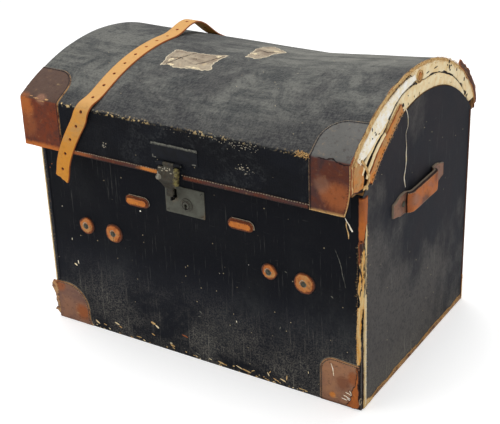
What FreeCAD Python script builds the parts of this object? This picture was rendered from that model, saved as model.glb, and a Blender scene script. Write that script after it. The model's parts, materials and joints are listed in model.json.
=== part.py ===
import FreeCAD, Part
import math
import os

# Dome top trunk: a canvas-covered box whose end panels rise into full arches, under a barrel lid
# with deep skirts.  Millimetres.  X runs along the trunk, -Y is the front, +Z is up, and the
# origin is the centre of the underside.

V = FreeCAD.Vector

# --- driving dimensions ---------------------------------------------------------------------
body_length = 760.0          # over the end canvases
body_depth = 502.0           # over the front and back canvases
wall_height = 466.0          # top of the front and back walls
arch_rise = 112.0            # end panels rise this far above the walls
board = 10.0                 # front, back and base boards
end_board = 12.0             # arched end boards
canvas = 1.5                 # coated canvas covering
lining = 0.8                 # cloth lining

lid_short = 2.0              # each end of the lid stops this far short of the box's
lid_front_overhang = 46.0    # lid's front canvas stands this far ahead of the body's
lid_back_overhang = 24.0
lid_board = 8.0              # bent dome board and skirts
skirt_bottom = 441.0         # lower edge of the front skirt
back_skirt_bottom = 455.0
front_crease = 546.0         # height of the crease between the front skirt and the dome
back_crease = 497.0
dome_sag = 90.0              # rise of the dome above the line between its creases
flare_sag = 120.0            # the same at the right end, where the dome has sprung upwards
flare_start = 110.0          # X where the dome starts to rise towards its right end
dome_lip = 14.0              # the dome board turns down this far below each crease
rim_board = 12.0             # arched boards that close the lid's ends
rim_cover = 2.0              # leather, cloth and card on the rims
rim_foot = 478.0             # lower end of the rims
seat_clearance = 0.5         # between the rims and the arched edges of the end panels

leather = 2.2                # thickness of the leather corners and bindings
cap_sizes = {"left": (98.0, 79.0), "right": (83.0, 74.0)}    # the lid's leather corners: how far
                             # they reach along the lid, and back over the dome
clearance = 0.3              # between pieces that may move past each other
contact_gap = 0.05           # between a shank and the hole it fills

# --- places that follow from them -----------------------------------------------------------
half_length = body_length / 2
half_depth = body_depth / 2
half_lid = half_length - lid_short
arch_radius = (half_depth ** 2 + arch_rise ** 2) / (2 * arch_rise)
arch_centre = wall_height + arch_rise - arch_radius
lid_front = -half_depth - lid_front_overhang
lid_back = half_depth + lid_back_overhang
inner_half_length = half_length - canvas - end_board
inner_half_depth = half_depth - canvas - board
lid_shell = canvas + lid_board
far = 2000.0                 # reach of cutting blocks
near = 0.01                  # two lengths this close are the same
over = 20.0                  # cutting tools run this far past the faces they open


# --- shape helpers --------------------------------------------------------------------------
def box(x0, x1, y0, y1, z0, z1):
    return Part.makeBox(x1 - x0, y1 - y0, z1 - z0, V(x0, y0, z0))


def rod(start, direction, radius, length):
    return Part.makeCylinder(radius, length, start, direction)


def fuse(shapes):
    return shapes[0].multiFuse(shapes[1:]).removeSplitter() if len(shapes) > 1 else shapes[0]


def cut(shape, tools):
    return shape.cut(tools) if tools else shape


def mirror_x(shape):
    return shape.mirror(V(0, 0, 0), V(1, 0, 0))


def extrude_yz(points, x0, x1):
    """A flat outline in the YZ plane, given as (y, z) points, carried from x0 to x1."""
    wire = Part.makePolygon([V(x0, y, z) for y, z in points + points[:1]])
    return Part.Face(wire).extrude(V(x1 - x0, 0, 0))


def extrude_xz(points, y0, y1):
    """A flat outline in the XZ plane, given as (x, z) points, carried from y0 to y1."""
    wire = Part.makePolygon([V(x, y0, z) for x, z in points + points[:1]])
    return Part.Face(wire).extrude(V(0, y1 - y0, 0))


def stadium_xz(cx, cz, length, height, y0, y1):
    """A bar with round ends, lying along X and centred at (cx, cz)."""
    half = (length - height) / 2
    ends = [rod(V(cx + s * half, y0, cz), V(0, 1, 0), height / 2, y1 - y0) for s in (-1, 1)]
    middle = box(cx - half, cx + half, y0, y1, cz - height / 2, cz + height / 2)
    return fuse([middle] + ends)


def arch_panel(x0, x1, inset, bottom):
    """An end panel from x0 to x1: straight sides up to the walls' top, then an arch."""
    y = half_depth - inset
    z = arch_centre + math.sqrt(arch_radius ** 2 - y ** 2)
    top = Part.Arc(V(x0, -y, z), V(x0, 0, arch_centre + arch_radius), V(x0, y, z)).toShape()
    sides = Part.makePolygon([V(x0, y, z), V(x0, y, bottom), V(x0, -y, bottom), V(x0, -y, z)])
    return Part.Face(Part.Wire([top] + sides.Edges)).extrude(V(x1 - x0, 0, 0))


def lid_arc(sag):
    """Centre (y, z) and radius of the dome's outer arc, for its rise above the creases' line."""
    run = lid_back - lid_front
    drop = front_crease - back_crease
    chord = math.hypot(run, drop)
    radius = ((chord / 2) ** 2 + sag ** 2) / (2 * sag)
    middle_y = (lid_front + lid_back) / 2
    middle_z = (front_crease + back_crease) / 2
    reach = radius - sag
    return middle_y - reach * drop / chord, middle_z - reach * run / chord, radius


def lid_wire(x, sag, inset, low_front, low_back):
    """The lid's outline at x, moved inwards by inset, closed at its two lower edges."""
    yc, zc, radius = lid_arc(sag)
    r = radius - inset
    y0 = lid_front + inset
    y1 = lid_back - inset
    z0 = zc + math.sqrt(r ** 2 - (y0 - yc) ** 2)
    z1 = zc + math.sqrt(r ** 2 - (y1 - yc) ** 2)
    arc = Part.Arc(V(x, y0, z0), V(x, yc, zc + r), V(x, y1, z1)).toShape()
    sides = Part.makePolygon([V(x, y1, z1), V(x, y1, low_back), V(x, y0, low_front), V(x, y0, z0)])
    return Part.Wire([arc] + sides.Edges)


def lid_sag(x):
    """Rise of the dome above its creases' line at x."""
    run = half_length - flare_start
    return dome_sag + max(0.0, (x - flare_start) / run) * (flare_sag - dome_sag)


def lid_envelope(inset, half, drop=0.0):
    """The solid inside the lid's outline, moved inwards by inset, from -half to +half."""
    low_front = skirt_bottom - drop
    low_back = back_skirt_bottom - drop
    stations = [-half, flare_start, half]
    wires = [lid_wire(x, lid_sag(x), inset, low_front, low_back) for x in stations]
    spans = [Part.makeLoft(list(pair), True, True) for pair in zip(wires, wires[1:])]
    return fuse(spans)


def lid_layer(outer, inner, half):
    """The shell between two insets of the lid's outline."""
    return lid_envelope(outer, half).cut(lid_envelope(inner, half + 1, over))


parts = {}


# --- the box --------------------------------------------------------------------------------
# The lock is let into the front board, and the rivets and screws pass through their boards.
screw_radius = 1.6
screw_head = 3.4
screw_head_height = 1.5
lock_x = -14.0               # centre of the lock plate
lock_z = 368.5
plate_width = 94.0
plate_height = 61.0
plate_thickness = 1.8
case_screw_gap = 2.4         # between the lock's case and the plate's screws
case_height = 48.0
case_depth = 14.0
case_wall = 1.5
case_room = 3.0              # the lining is cut back this far round the case
slot_x = -36.0               # upright slot that takes the hasp's staple
slot_z = 382.0
slot_width = 6.0
slot_height = 19.0
keyhole_x = -10.0
keyhole_z = 362.0
boss_radius = 14.0
boss_height = 4.4
key_radius = 2.6
key_drop = 8.4               # from the middle of the keyhole to the foot of its slot
boss_step = 0.78             # share of the boss's radius that its raised middle takes
plate_inset = 6.0            # from the plate's edges to its screws

case_width = plate_width - 2 * (plate_inset + screw_radius + case_screw_gap)
front_face = -half_depth
case_cavity = box(lock_x - case_width / 2, lock_x + case_width / 2, front_face,
                  front_face + case_depth, lock_z - case_height / 2, lock_z + case_height / 2)

# riveted leather washers and stitched tabs on the front, (x, z) of their centres
washer_places = [(-275.0, 254.0), (-203.0, 252.0), (178.0, 260.0), (256.0, 254.0)]
washer_radii = [19.5, 21.5, 17.5, 23.0]
washer_thickness = 5.0
washer_step = 0.86           # share of the lower washer's radius that the upper one takes
washer_shift = 1.0           # and it lies this far off centre
tab_places = [(-134.0, 342.0), (116.0, 347.0)]
tab_length = 60.0
tab_height = 24.0
tab_thickness = 5.0
tab_border = 4.5             # width of the thin border round a tab's raised middle
rivet_shank = 2.0
rivet_head = 6.5
rivet_head_height = 2.4
head_round = 0.75            # share of a rivet's or screw's head that is rounded
blind_end = 2.0              # shanks stop this far inside their boards

# handles on the ends
handle_y = -12.0             # middle of the handle
handle_z = 382.0
handle_width = 46.0
handle_reach = 121.0         # half the length of the handle's strap
handle_foot = 56.0           # length of each flat end
handle_ramp = 8.0            # length over which the strap rises to the grip
handle_standoff = 10.0       # gap between the grip and the panel
handle_leather = 4.0
handle_rivet_in = 46.0       # from the strap's ends to its rivets
handle_point = 34.0          # length of the strap's pointed ends
handle_point_width = 30.0    # width of the strap at its very ends
grip_thickness = 6.0
grip_round = 2.7

# hinges
hinge_width = 40.0
hinge_cap_gap = 4.0          # between the outer hinges and the lid's widest leather corners
widest_cap = max(width for width, depth in cap_sizes.values())
hinge_end = half_lid - widest_cap - hinge_cap_gap - hinge_width / 2
hinge_places = [-hinge_end, 0.0, hinge_end]
hinge_leaf = 2.0
hinge_leaf_length = 42.0
knuckle_radius = 4.4
hinge_drop = 1.6             # gap between the knuckles and the lid's lower edge above them
pin_radius = 2.0
pin_head_radius = 3.4
pin_head = 1.4
running_fit = 0.05
hinge_y = lid_back + knuckle_radius
hinge_z = back_skirt_bottom - knuckle_radius - hinge_drop
centre_knuckle = 14.0
screw_spread = 12.0
screw_drops = (22.0, 40.0)   # the body leaf's screws, below the hinge pin
lid_screw_rise = 26.0        # the lid leaf's screws, above the hinge pin


def hole_y(x, z, radius, y0, y1):
    return rod(V(x, y0, z), V(0, 1, 0), radius, y1 - y0)


def rivet_y(x, z, seat, length, outward):
    """A round-headed rivet: the head on the seat plane, facing outward (-1 or +1 along Y)."""
    head = rod(V(x, seat, z), V(0, outward, 0), rivet_head, rivet_head_height)
    rims = [e for e in head.Edges if is_rim(e, seat)]
    head = head.makeFillet(rivet_head_height * head_round, rims)
    shank = rod(V(x, seat, z), V(0, -outward, 0), rivet_shank, length)
    return fuse([head, shank])


def is_rim(edge, seat):
    """True for the circle at the outer end of a head that sits on the seat plane."""
    return edge.BoundBox.YLength < near and abs(edge.BoundBox.YMin - seat) > near


washer_holes = [hole_y(x, z, rivet_shank + contact_gap, -half_depth - over, -inner_half_depth + 1)
                for x, z in washer_places]
hinge_screw_places = [(x + s * screw_spread, hinge_z - drop) for x in hinge_places for s in (-1, 1)
                      for drop in screw_drops]
hinge_screw_holes = [hole_y(x, z, screw_radius + contact_gap, inner_half_depth - 1,
                            half_depth + over) for x, z in hinge_screw_places]

handle_rivet_places = [(handle_y + s * (handle_reach - handle_rivet_in), handle_z)
                       for s in (-1, 1)]


def hole_x(y, z, radius, x0, x1):
    return rod(V(x0, y, z), V(1, 0, 0), radius, x1 - x0)


handle_holes = [hole_x(y, z, rivet_shank + contact_gap, inner_half_length - 1, half_length + over)
                for y, z in handle_rivet_places]

front_slot = box(-half_length + canvas + end_board, half_length - canvas - end_board,
                 -half_depth + canvas, -inner_half_depth, 0, wall_height)
lock_pocket = box(lock_x - case_width / 2 - clearance, lock_x + case_width / 2 + clearance,
                  front_face - 1, front_face + case_depth + clearance,
                  lock_z - case_height / 2 - clearance, lock_z + case_height / 2 + clearance)

parts["front_board"] = cut(front_slot, [lock_pocket] + washer_holes)
back_wall = box(-inner_half_length, inner_half_length, inner_half_depth, half_depth - canvas,
                0, wall_height)
parts["back_board"] = cut(back_wall, hinge_screw_holes)
parts["base_board"] = box(-inner_half_length, inner_half_length, -inner_half_depth,
                          inner_half_depth, 0, board)

end_panel = arch_panel(inner_half_length, half_length - canvas, canvas, 0)
parts["end_board_right"] = cut(end_panel, handle_holes)
parts["end_board_left"] = mirror_x(parts["end_board_right"])

canvas_foot = 0.6            # the coverings stop just above the floor
skin_front = box(-half_length + canvas, half_length - canvas, -half_depth, -half_depth + canvas,
                 canvas_foot, wall_height)
parts["front_canvas"] = cut(skin_front, [lock_pocket] + washer_holes)
skin_back = box(-half_length + canvas, half_length - canvas, half_depth - canvas, half_depth,
                canvas_foot, wall_height)
parts["back_canvas"] = cut(skin_back, hinge_screw_holes)
skin_end = arch_panel(half_length - canvas, half_length, 0, canvas_foot)
parts["end_canvas_right"] = cut(skin_end, handle_holes)
parts["end_canvas_left"] = mirror_x(parts["end_canvas_right"])

lining_short = 8.0           # the lining stops this far below the walls' top
lining_top = wall_height - lining_short
lining_gap = contact_gap
tray = box(-inner_half_length + lining_gap, inner_half_length - lining_gap,
           -inner_half_depth + lining_gap, inner_half_depth - lining_gap,
           board + lining_gap, lining_top)
hollow = box(-inner_half_length + lining_gap + lining, inner_half_length - lining_gap - lining,
             -inner_half_depth + lining_gap + lining, inner_half_depth - lining_gap - lining,
             board + lining_gap + lining, lining_top + 1)
case_clear = box(lock_x - case_width / 2 - case_room, lock_x + case_width / 2 + case_room,
                 -half_depth, front_face + case_depth + case_room,
                 lock_z - case_height / 2 - case_room, lock_z + case_height / 2 + case_room)
parts["body_lining"] = tray.cut([hollow, case_clear])

# --- leather corners and bindings of the box ------------------------------------------------
# Each bottom corner: its width along the front or back, its height, the radius of its free
# corner there, and how far it turns round the end.  The right ones are torn off at the edge.
corner_cuts = {
    "front_left": (87.0, 94.0, 56.0, 62.0),
    "front_right": (90.0, 104.0, 32.0, 0.0),
    "back_left": (87.0, 98.0, 54.0, 62.0),
    "back_right": (90.0, 98.0, 54.0, 0.0),
}
# width of each upright binding round the end: the back right one is worn down to a narrow edge
binding_sides = {"front_left": 20.0, "front_right": 20.0, "back_left": 20.0, "back_right": 6.0}
end_round = 0.62             # share of the turn round the end that its free corner is rounded by
binding_front = 12.0         # width of an upright binding on the long face
binding_top = wall_height - 4.0
binding_gap = 1.0            # between a binding and the corner below it
torn_edge = 4.0              # the torn corner stops this far from the edge of the box


def bottom_corner(width, height, radius, turn, sign_y):
    """Leather over a bottom corner at the +X end, with its free corner cut round."""
    y_face = sign_y * half_depth
    x_stop = half_length + leather if turn else half_length - torn_edge
    x_free = half_length - width
    low, high = canvas_foot, height
    flap = box(x_free, x_stop, *sorted((y_face, y_face + sign_y * leather)), low, high)
    notch = box(x_free, x_free + radius, -far, far, high - radius, high)
    notch = notch.cut(rod(V(x_free + radius, -far, high - radius), V(0, 1, 0), radius, 2 * far))
    flap = flap.cut(notch)
    if not turn:
        return flap
    y_free = y_face - sign_y * turn
    r = turn * end_round
    y_round = y_free + sign_y * r
    side = box(half_length, half_length + leather, *sorted((y_free, y_face)), low, high)
    notch = box(-far, far, *sorted((y_free, y_round)), high - r, high)
    notch = notch.cut(rod(V(-far, y_round, high - r), V(1, 0, 0), r, 2 * far))
    return fuse([flap, side.cut(notch)])


def corner_binding(height, turn, side, sign_y):
    """Upright leather binding folded over a corner at the +X end, above the bottom corner."""
    y_face = sign_y * half_depth
    low = height + binding_gap
    end_low = low if turn else canvas_foot
    long_part = box(half_length - binding_front, half_length + leather,
                    *sorted((y_face, y_face + sign_y * leather)), low, binding_top)
    end_part = box(half_length, half_length + leather,
                   *sorted((y_face - sign_y * side, y_face)), end_low, binding_top)
    return fuse([long_part, end_part])


for place, (width, height, radius, turn) in corner_cuts.items():
    sign_y = -1 if place.startswith("front") else 1
    leathers = [bottom_corner(width, height, radius, turn, sign_y),
                corner_binding(height, turn, binding_sides[place], sign_y)]
    if place.endswith("left"):
        leathers = [mirror_x(shape) for shape in leathers]
    parts["bottom_corner_" + place], parts["corner_binding_" + place] = leathers

base_binding_height = 14.0
base_binding = 1.5           # thickness of the bindings along the foot of the ends
left_foot = half_depth - corner_cuts["back_left"][3] - binding_gap
left_strip = box(-half_length - base_binding, -half_length, -left_foot, left_foot, canvas_foot,
                 base_binding_height)
right_strip = box(half_length, half_length + base_binding,
                  binding_sides["front_right"] + binding_gap - half_depth,
                  half_depth - binding_sides["back_right"] - binding_gap, canvas_foot,
                  base_binding_height)
parts["base_bindings"] = Part.makeCompound([left_strip, right_strip])

# --- lock -----------------------------------------------------------------------------------
plate_y = front_face - plate_thickness
slot_cut = box(slot_x - slot_width / 2, slot_x + slot_width / 2, plate_y - over, front_face + 1,
               slot_z - slot_height / 2, slot_z + slot_height / 2)
key_cut = fuse([
    rod(V(keyhole_x, plate_y - over, keyhole_z), V(0, 1, 0), key_radius, 2 * over),
    box(keyhole_x - key_radius / 2, keyhole_x + key_radius / 2, plate_y - over, plate_y + over,
        keyhole_z - key_drop, keyhole_z)])
plate = box(lock_x - plate_width / 2, lock_x + plate_width / 2, plate_y, front_face,
            lock_z - plate_height / 2, lock_z + plate_height / 2)
plate_screws = [(lock_x + sx * (plate_width / 2 - plate_inset),
                 lock_z + sz * (plate_height / 2 - plate_inset))
                for sx in (-1, 1) for sz in (-1, 1)]
plate_holes = [hole_y(x, z, screw_radius + contact_gap, -half_depth - over, -inner_half_depth + 1)
               for x, z in plate_screws]
parts["lock_plate"] = cut(plate, [slot_cut, key_cut] + plate_holes)
for name in ("front_board", "front_canvas"):
    parts[name] = cut(parts[name], plate_holes)

boss = rod(V(keyhole_x, plate_y, keyhole_z), V(0, -1, 0), boss_radius, boss_height / 2)
boss_middle = rod(V(keyhole_x, plate_y, keyhole_z), V(0, -1, 0), boss_radius * boss_step,
                  boss_height)
parts["keyhole_boss"] = fuse([boss, boss_middle]).cut(key_cut)

case_inner = box(lock_x - case_width / 2 + case_wall, lock_x + case_width / 2 - case_wall,
                 front_face - 1, front_face + case_depth - case_wall,
                 lock_z - case_height / 2 + case_wall, lock_z + case_height / 2 - case_wall)

# The bolt slides behind the plate, through two guides, into the eye of the hasp's staple.
bolt_size = 4.0
bolt_length = 40.0
bolt_gap = 0.08              # running clearance round the bolt
bolt_y = front_face + 4.5    # middle of the bolt
bolt_z = 384.0
bolt_end = slot_x + slot_width / 2 + 2.5
guide_thickness = 5.0
guide_wall = 3.0
guide_inset = (4.0, 6.0)     # middles of the guides, from the bolt's two ends
talon_start = keyhole_x + 1.0
talon_length = 8.0
talon_drop = 5.0


def bolt_section(x0, x1, spare):
    """A square bar along the bolt's middle line, thicker than the bolt by spare all round."""
    half = bolt_size / 2 + spare
    return box(x0, x1, bolt_y - half, bolt_y + half, bolt_z - half, bolt_z + half)


talon = box(talon_start, talon_start + talon_length, bolt_y - bolt_size / 2,
            bolt_y + bolt_size / 2, bolt_z - bolt_size / 2 - talon_drop, bolt_z - bolt_size / 2)
parts["lock_bolt"] = fuse([bolt_section(bolt_end, bolt_end + bolt_length, 0), talon])

guides = []
for middle in (bolt_end + guide_inset[0], bolt_end + bolt_length - guide_inset[1]):
    x0, x1 = middle - guide_thickness / 2, middle + guide_thickness / 2
    block = box(x0, x1, front_face + 1, front_face + case_depth - case_wall,
                bolt_z - bolt_size / 2 - guide_wall, bolt_z + bolt_size / 2 + guide_wall)
    guides.append(block.cut(bolt_section(x0 - 1, x1 + 1, bolt_gap)))
parts["lock_case"] = fuse([case_cavity.cut(case_inner)] + guides)


def screw_y(x, z, seat, length, outward):
    """A domed screw: head on the seat plane facing outward along Y, shank into the board."""
    head = rod(V(x, seat, z), V(0, outward, 0), screw_head, screw_head_height)
    rims = [e for e in head.Edges if is_rim(e, seat)]
    head = head.makeFillet(screw_head_height * head_round, rims)
    return fuse([head, rod(V(x, seat, z), V(0, -outward, 0), screw_radius, length)])


parts["lock_screws"] = Part.makeCompound(
    [screw_y(x, z, plate_y, plate_thickness + canvas + board - blind_end, -1)
     for x, z in plate_screws])

# --- washers, tabs, handles -----------------------------------------------------------------
washers = []
for (x, z), radius in zip(washer_places, washer_radii):
    lower = rod(V(x, front_face, z), V(0, -1, 0), radius, washer_thickness / 2)
    upper = rod(V(x + washer_shift, front_face, z + washer_shift), V(0, -1, 0),
                radius * washer_step, washer_thickness)
    washers.append(fuse([lower, upper]).cut(
        hole_y(x, z, rivet_shank + contact_gap, -half_depth - over, -half_depth + 1)))
parts["leather_washers"] = Part.makeCompound(washers)
parts["washer_rivets"] = Part.makeCompound(
    [rivet_y(x, z, front_face - washer_thickness, washer_thickness + canvas + board - blind_end, -1)
     for x, z in washer_places])

tabs = []
for x, z in tab_places:
    flat = stadium_xz(x, z, tab_length, tab_height, front_face - tab_thickness / 2, front_face)
    raised = stadium_xz(x, z, tab_length - 2 * tab_border, tab_height - 2 * tab_border,
                        front_face - tab_thickness, front_face)
    tabs.append(fuse([flat, raised]))
parts["stitched_tabs"] = Part.makeCompound(tabs)


def handle_strap():
    """Leather strap that lies flat at both ends and stands off between them, on the +X end."""
    x0 = half_length
    t = handle_leather
    out = handle_standoff
    foot = handle_reach - handle_foot
    mid = foot - handle_ramp
    outline = [(-handle_reach, 0), (-foot, 0), (-mid, out), (mid, out), (foot, 0),
               (handle_reach, 0), (handle_reach, t), (foot + 2, t), (mid + 2, out + t),
               (-mid - 2, out + t), (-foot - 2, t), (-handle_reach, t)]
    wire = Part.makePolygon([V(x0 + dx, handle_y + y, handle_z - handle_width / 2)
                             for y, dx in outline + outline[:1]])
    slab = Part.Face(wire).extrude(V(0, 0, handle_width))
    for s in (-1, 1):
        tip = handle_y + s * (handle_reach + 1)
        shoulder = handle_y + s * (handle_reach - handle_point)
        for side in (-1, 1):
            z_point = handle_z + side * handle_point_width / 2
            z_edge = handle_z + side * (handle_width / 2 + 1)
            corner = Part.makePolygon([V(x0 - 1, tip, z_point), V(x0 - 1, tip, z_edge),
                                       V(x0 - 1, shoulder, z_edge), V(x0 - 1, tip, z_point)])
            slab = slab.cut(Part.Face(corner).extrude(V(t + 2, 0, 0)))
    return slab.cut(handle_holes)


parts["handle_strap_right"] = handle_strap()
parts["handle_strap_left"] = mirror_x(parts["handle_strap_right"])
grip_x = half_length + handle_standoff + handle_leather
grip_half = handle_reach - handle_foot - handle_ramp
grip = box(grip_x, grip_x + grip_thickness, handle_y - grip_half, handle_y + grip_half,
           handle_z - handle_width / 2, handle_z + handle_width / 2)
outer_edges = [e for e in grip.Edges if e.BoundBox.XMin > grip_x + grip_thickness - near
               and e.BoundBox.YLength > near]
grip = grip.makeFillet(grip_round, outer_edges)
parts["handle_grip_right"] = grip
parts["handle_grip_left"] = mirror_x(grip)


def rivet_x(y, z):
    seat = half_length + handle_leather
    head = rod(V(seat, y, z), V(1, 0, 0), rivet_head, rivet_head_height)
    outer = [e for e in head.Edges if e.BoundBox.XMin > seat + near]
    head = head.makeFillet(rivet_head_height * head_round, outer)
    length = handle_leather + canvas + end_board - blind_end
    return fuse([head, rod(V(seat, y, z), V(-1, 0, 0), rivet_shank, length)])


end_rivets = [rivet_x(y, z) for y, z in handle_rivet_places]
parts["handle_rivets"] = Part.makeCompound(end_rivets + [mirror_x(r) for r in end_rivets])

# --- hinges ---------------------------------------------------------------------------------
leaf_inner = lid_back
leaf_outer = lid_back + hinge_leaf
arm_top = hinge_z - knuckle_radius - 2.0
arm_low = arm_top - hinge_leaf
knuckle_gap = 0.4
knuckle_overlap = 0.4        # a leaf runs this far into its knuckle
leaf_top = back_crease - 5.0


def knuckle(x0, x1, bore):
    ring = rod(V(x0, hinge_y, hinge_z), V(1, 0, 0), knuckle_radius, x1 - x0)
    return ring.cut(rod(V(x0 - 1, hinge_y, hinge_z), V(1, 0, 0), bore, x1 - x0 + 2))


def bore_clear(x0, x1):
    return rod(V(x0, hinge_y, hinge_z), V(1, 0, 0), knuckle_radius - knuckle_overlap, x1 - x0)


body_leaves, lid_leaves, pins = [], [], []
for hx in hinge_places:
    left, right = hx - hinge_width / 2, hx + hinge_width / 2
    inner_l = hx - centre_knuckle / 2
    inner_r = hx + centre_knuckle / 2
    leaf = extrude_yz([(half_depth, arm_low - hinge_leaf_length), (half_depth + hinge_leaf,
                      arm_low - hinge_leaf_length), (half_depth + hinge_leaf, arm_low),
                       (leaf_outer, arm_low), (leaf_outer, arm_top), (half_depth, arm_top)],
                      left, right)
    ears = []
    for a, b in ((left, inner_l - knuckle_gap), (inner_r + knuckle_gap, right)):
        upright = box(a, b, leaf_inner, leaf_outer, arm_low, hinge_z)
        ears.append(fuse([upright.cut(bore_clear(a - 1, b + 1)),
                          knuckle(a, b, pin_radius + contact_gap / 2)]))
    body_leaves.append(fuse([leaf] + ears).cut(hinge_screw_holes))
    plate_low = hinge_z + knuckle_radius + 1.0
    lid_plate = box(left, right, leaf_inner, leaf_outer, plate_low, leaf_top)
    stem = box(inner_l, inner_r, leaf_inner, leaf_outer, hinge_z, plate_low)
    lid_leaves.append(fuse([lid_plate, stem.cut(bore_clear(inner_l - 1, inner_r + 1)),
                            knuckle(inner_l, inner_r, pin_radius + running_fit)]))
    pin = rod(V(left - clearance, hinge_y, hinge_z), V(1, 0, 0), pin_radius,
              hinge_width + 2 * clearance)
    heads = [rod(V(left - clearance - pin_head, hinge_y, hinge_z), V(1, 0, 0),
                 pin_head_radius, pin_head),
             rod(V(right + clearance, hinge_y, hinge_z), V(1, 0, 0), pin_head_radius, pin_head)]
    pins.append(fuse([pin] + heads))

lid_screw_places = [(x + s * screw_spread, hinge_z + lid_screw_rise)
                    for x in hinge_places for s in (-1, 1)]
lid_screw_holes = [hole_y(x, z, screw_radius + contact_gap, lid_back - lid_shell - 1,
                          lid_back + over) for x, z in lid_screw_places]
parts["hinge_leaves_body"] = Part.makeCompound(body_leaves)
parts["hinge_leaves_lid"] = Part.makeCompound([leaf.cut(lid_screw_holes) for leaf in lid_leaves])
parts["hinge_pins"] = Part.makeCompound(pins)
parts["hinge_screws_body"] = Part.makeCompound(
    [screw_y(x, z, half_depth + hinge_leaf, hinge_leaf + canvas + board - blind_end, 1)
     for x, z in hinge_screw_places])
parts["hinge_screws_lid"] = Part.makeCompound(
    [screw_y(x, z, leaf_outer, hinge_leaf + lid_shell - blind_end, 1) for x, z in lid_screw_places])

# --- lid boards -----------------------------------------------------------------------------
rim_face = half_lid - rim_cover            # outer face of the rim boards
wood = lid_layer(canvas, lid_shell, rim_face)
front_zone = box(-far, far, -far, 0, 0, front_crease - dome_lip)
back_zone = box(-far, far, 0, far, 0, back_crease - dome_lip)
parts["dome_board"] = wood.cut([front_zone, back_zone])
parts["front_skirt"] = wood.common(front_zone)
parts["back_skirt"] = cut(wood.common(back_zone), lid_screw_holes)

arch_tool = rod(V(-far, 0, arch_centre), V(1, 0, 0), arch_radius + seat_clearance, 2 * far)
above_foot = box(-far, far, -far, far, rim_foot, far)
inside_lid = lid_envelope(lid_shell + contact_gap, half_lid)


def rim(x0, x1, envelope):
    """The crescent between the arched end panel and the lid's envelope, from x0 to x1."""
    slab = box(x0, x1, -far, far, -far, far)
    return envelope.common(slab).common(above_foot).cut(arch_tool)


parts["rim_board_left"] = rim(-rim_face, -rim_face + rim_board, inside_lid)
parts["rim_board_right"] = rim(rim_face - rim_board, rim_face, inside_lid)

skin = lid_layer(0.0, canvas, half_lid)
parts["lid_canvas"] = cut(skin, lid_screw_holes)

inside_canvas = lid_envelope(canvas + contact_gap, half_lid)
parts["rim_cover_left"] = rim(-half_lid, -rim_face, inside_canvas)

# The right rim has lost its cover: card, cloth and a stitched leather strip lie bare on it.
card_height = 35.0
card_edge = rod(V(-far, 0, arch_centre), V(1, 0, 0), arch_radius + card_height, 2 * far)
card_step = rim_cover / 2
right_face = rim(rim_face, rim_face + card_step, inside_canvas)
strip_height = 24.0
strip_edge = rod(V(-far, 0, arch_centre), V(1, 0, 0), arch_radius + strip_height, 2 * far)
strip_end = -105.0           # the stitched strip is torn off behind this
strip_zone = box(-far, far, -far, strip_end, 0, far)
parts["rim_card_right"] = right_face.common(card_edge)
parts["rim_cloth_right"] = right_face.cut(card_edge)
parts["rim_strip_right"] = rim(rim_face + card_step, half_lid, inside_canvas).common(
    strip_edge).common(strip_zone)

lining_half = rim_face - rim_board - 1.0
parts["lid_lining"] = lid_layer(lid_shell + contact_gap, lid_shell + contact_gap + lining,
                                lining_half).common(box(-far, far, -far, far, rim_foot, far))

# --- leather corners and binding of the lid -------------------------------------------------
cap_round = 0.64             # share of a cap's depth that its free corner is rounded by
cap_skin = lid_layer(-leather, 0.0, half_lid)


def plan_corner(width, depth, y_edge, sign_y):
    """Upright prism over a corner of the lid at the +X end, its free corner cut round."""
    y_far = y_edge - sign_y * depth
    y_out = y_edge + sign_y * over
    r = depth * cap_round
    x0 = half_lid - width
    block = box(x0, half_lid + over, *sorted((y_far, y_out)), 0, far)
    notch = box(x0, x0 + r, *sorted((y_far, y_far + sign_y * r)), 0, far)
    quarter = rod(V(x0 + r, y_far + sign_y * r, 0), V(0, 0, 1), r, far)
    return block.cut(notch.cut(quarter))


def lid_cap(side, sign_y):
    y_edge = lid_front if sign_y < 0 else lid_back
    width, depth = cap_sizes[side]
    tool = plan_corner(width, depth, y_edge, sign_y)
    return cap_skin.common(mirror_x(tool) if side == "left" else tool)


for place, sign_y in (("front", -1), ("back", 1)):
    for side in cap_sizes:
        parts["lid_corner_%s_%s" % (place, side)] = lid_cap(side, sign_y)

edge_height = 11.0
edge_start = cap_sizes["left"][0] + binding_gap - half_lid
edge_end = half_lid - cap_sizes["right"][0] - binding_gap
hasp_gap = 28.0              # half the break in the binding at the hasp
hasp_x = -11.0
edge_runs = [box(x0, x1, lid_front - leather, lid_front, skirt_bottom, skirt_bottom + edge_height)
             for x0, x1 in ((edge_start, hasp_x - hasp_gap), (hasp_x + hasp_gap, edge_end))]
parts["lid_edge_binding"] = Part.makeCompound(edge_runs)

# --- hasp -----------------------------------------------------------------------------------
hasp_plate = 2.6             # thickness of the hasp
hasp_axis_z = 470.0
hasp_knuckle = 3.6           # radius
hasp_half = 27.0             # half the length of the hasp's knuckles and pin seats together
hasp_neck = 12.6             # half the width of the hasp's own knuckle
ear_gap = 0.4
hasp_pin = 1.6
pin_stands_out = 2.0
mount_plate = 1.6            # thickness of the plate that the hasp hangs from
mount_web = 1.2
mount_width = 108.0
mount_height = 34.0
mount_low = hasp_axis_z + 5.0
hasp_axis_y = lid_front - mount_plate - hasp_knuckle - clearance


def hasp_rod(x0, x1, radius):
    return rod(V(x0, hasp_axis_y, hasp_axis_z), V(1, 0, 0), radius, x1 - x0)


def hasp_ring(x0, x1, bore):
    return hasp_rod(x0, x1, hasp_knuckle).cut(hasp_rod(x0 - 1, x1 + 1, bore))


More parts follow.
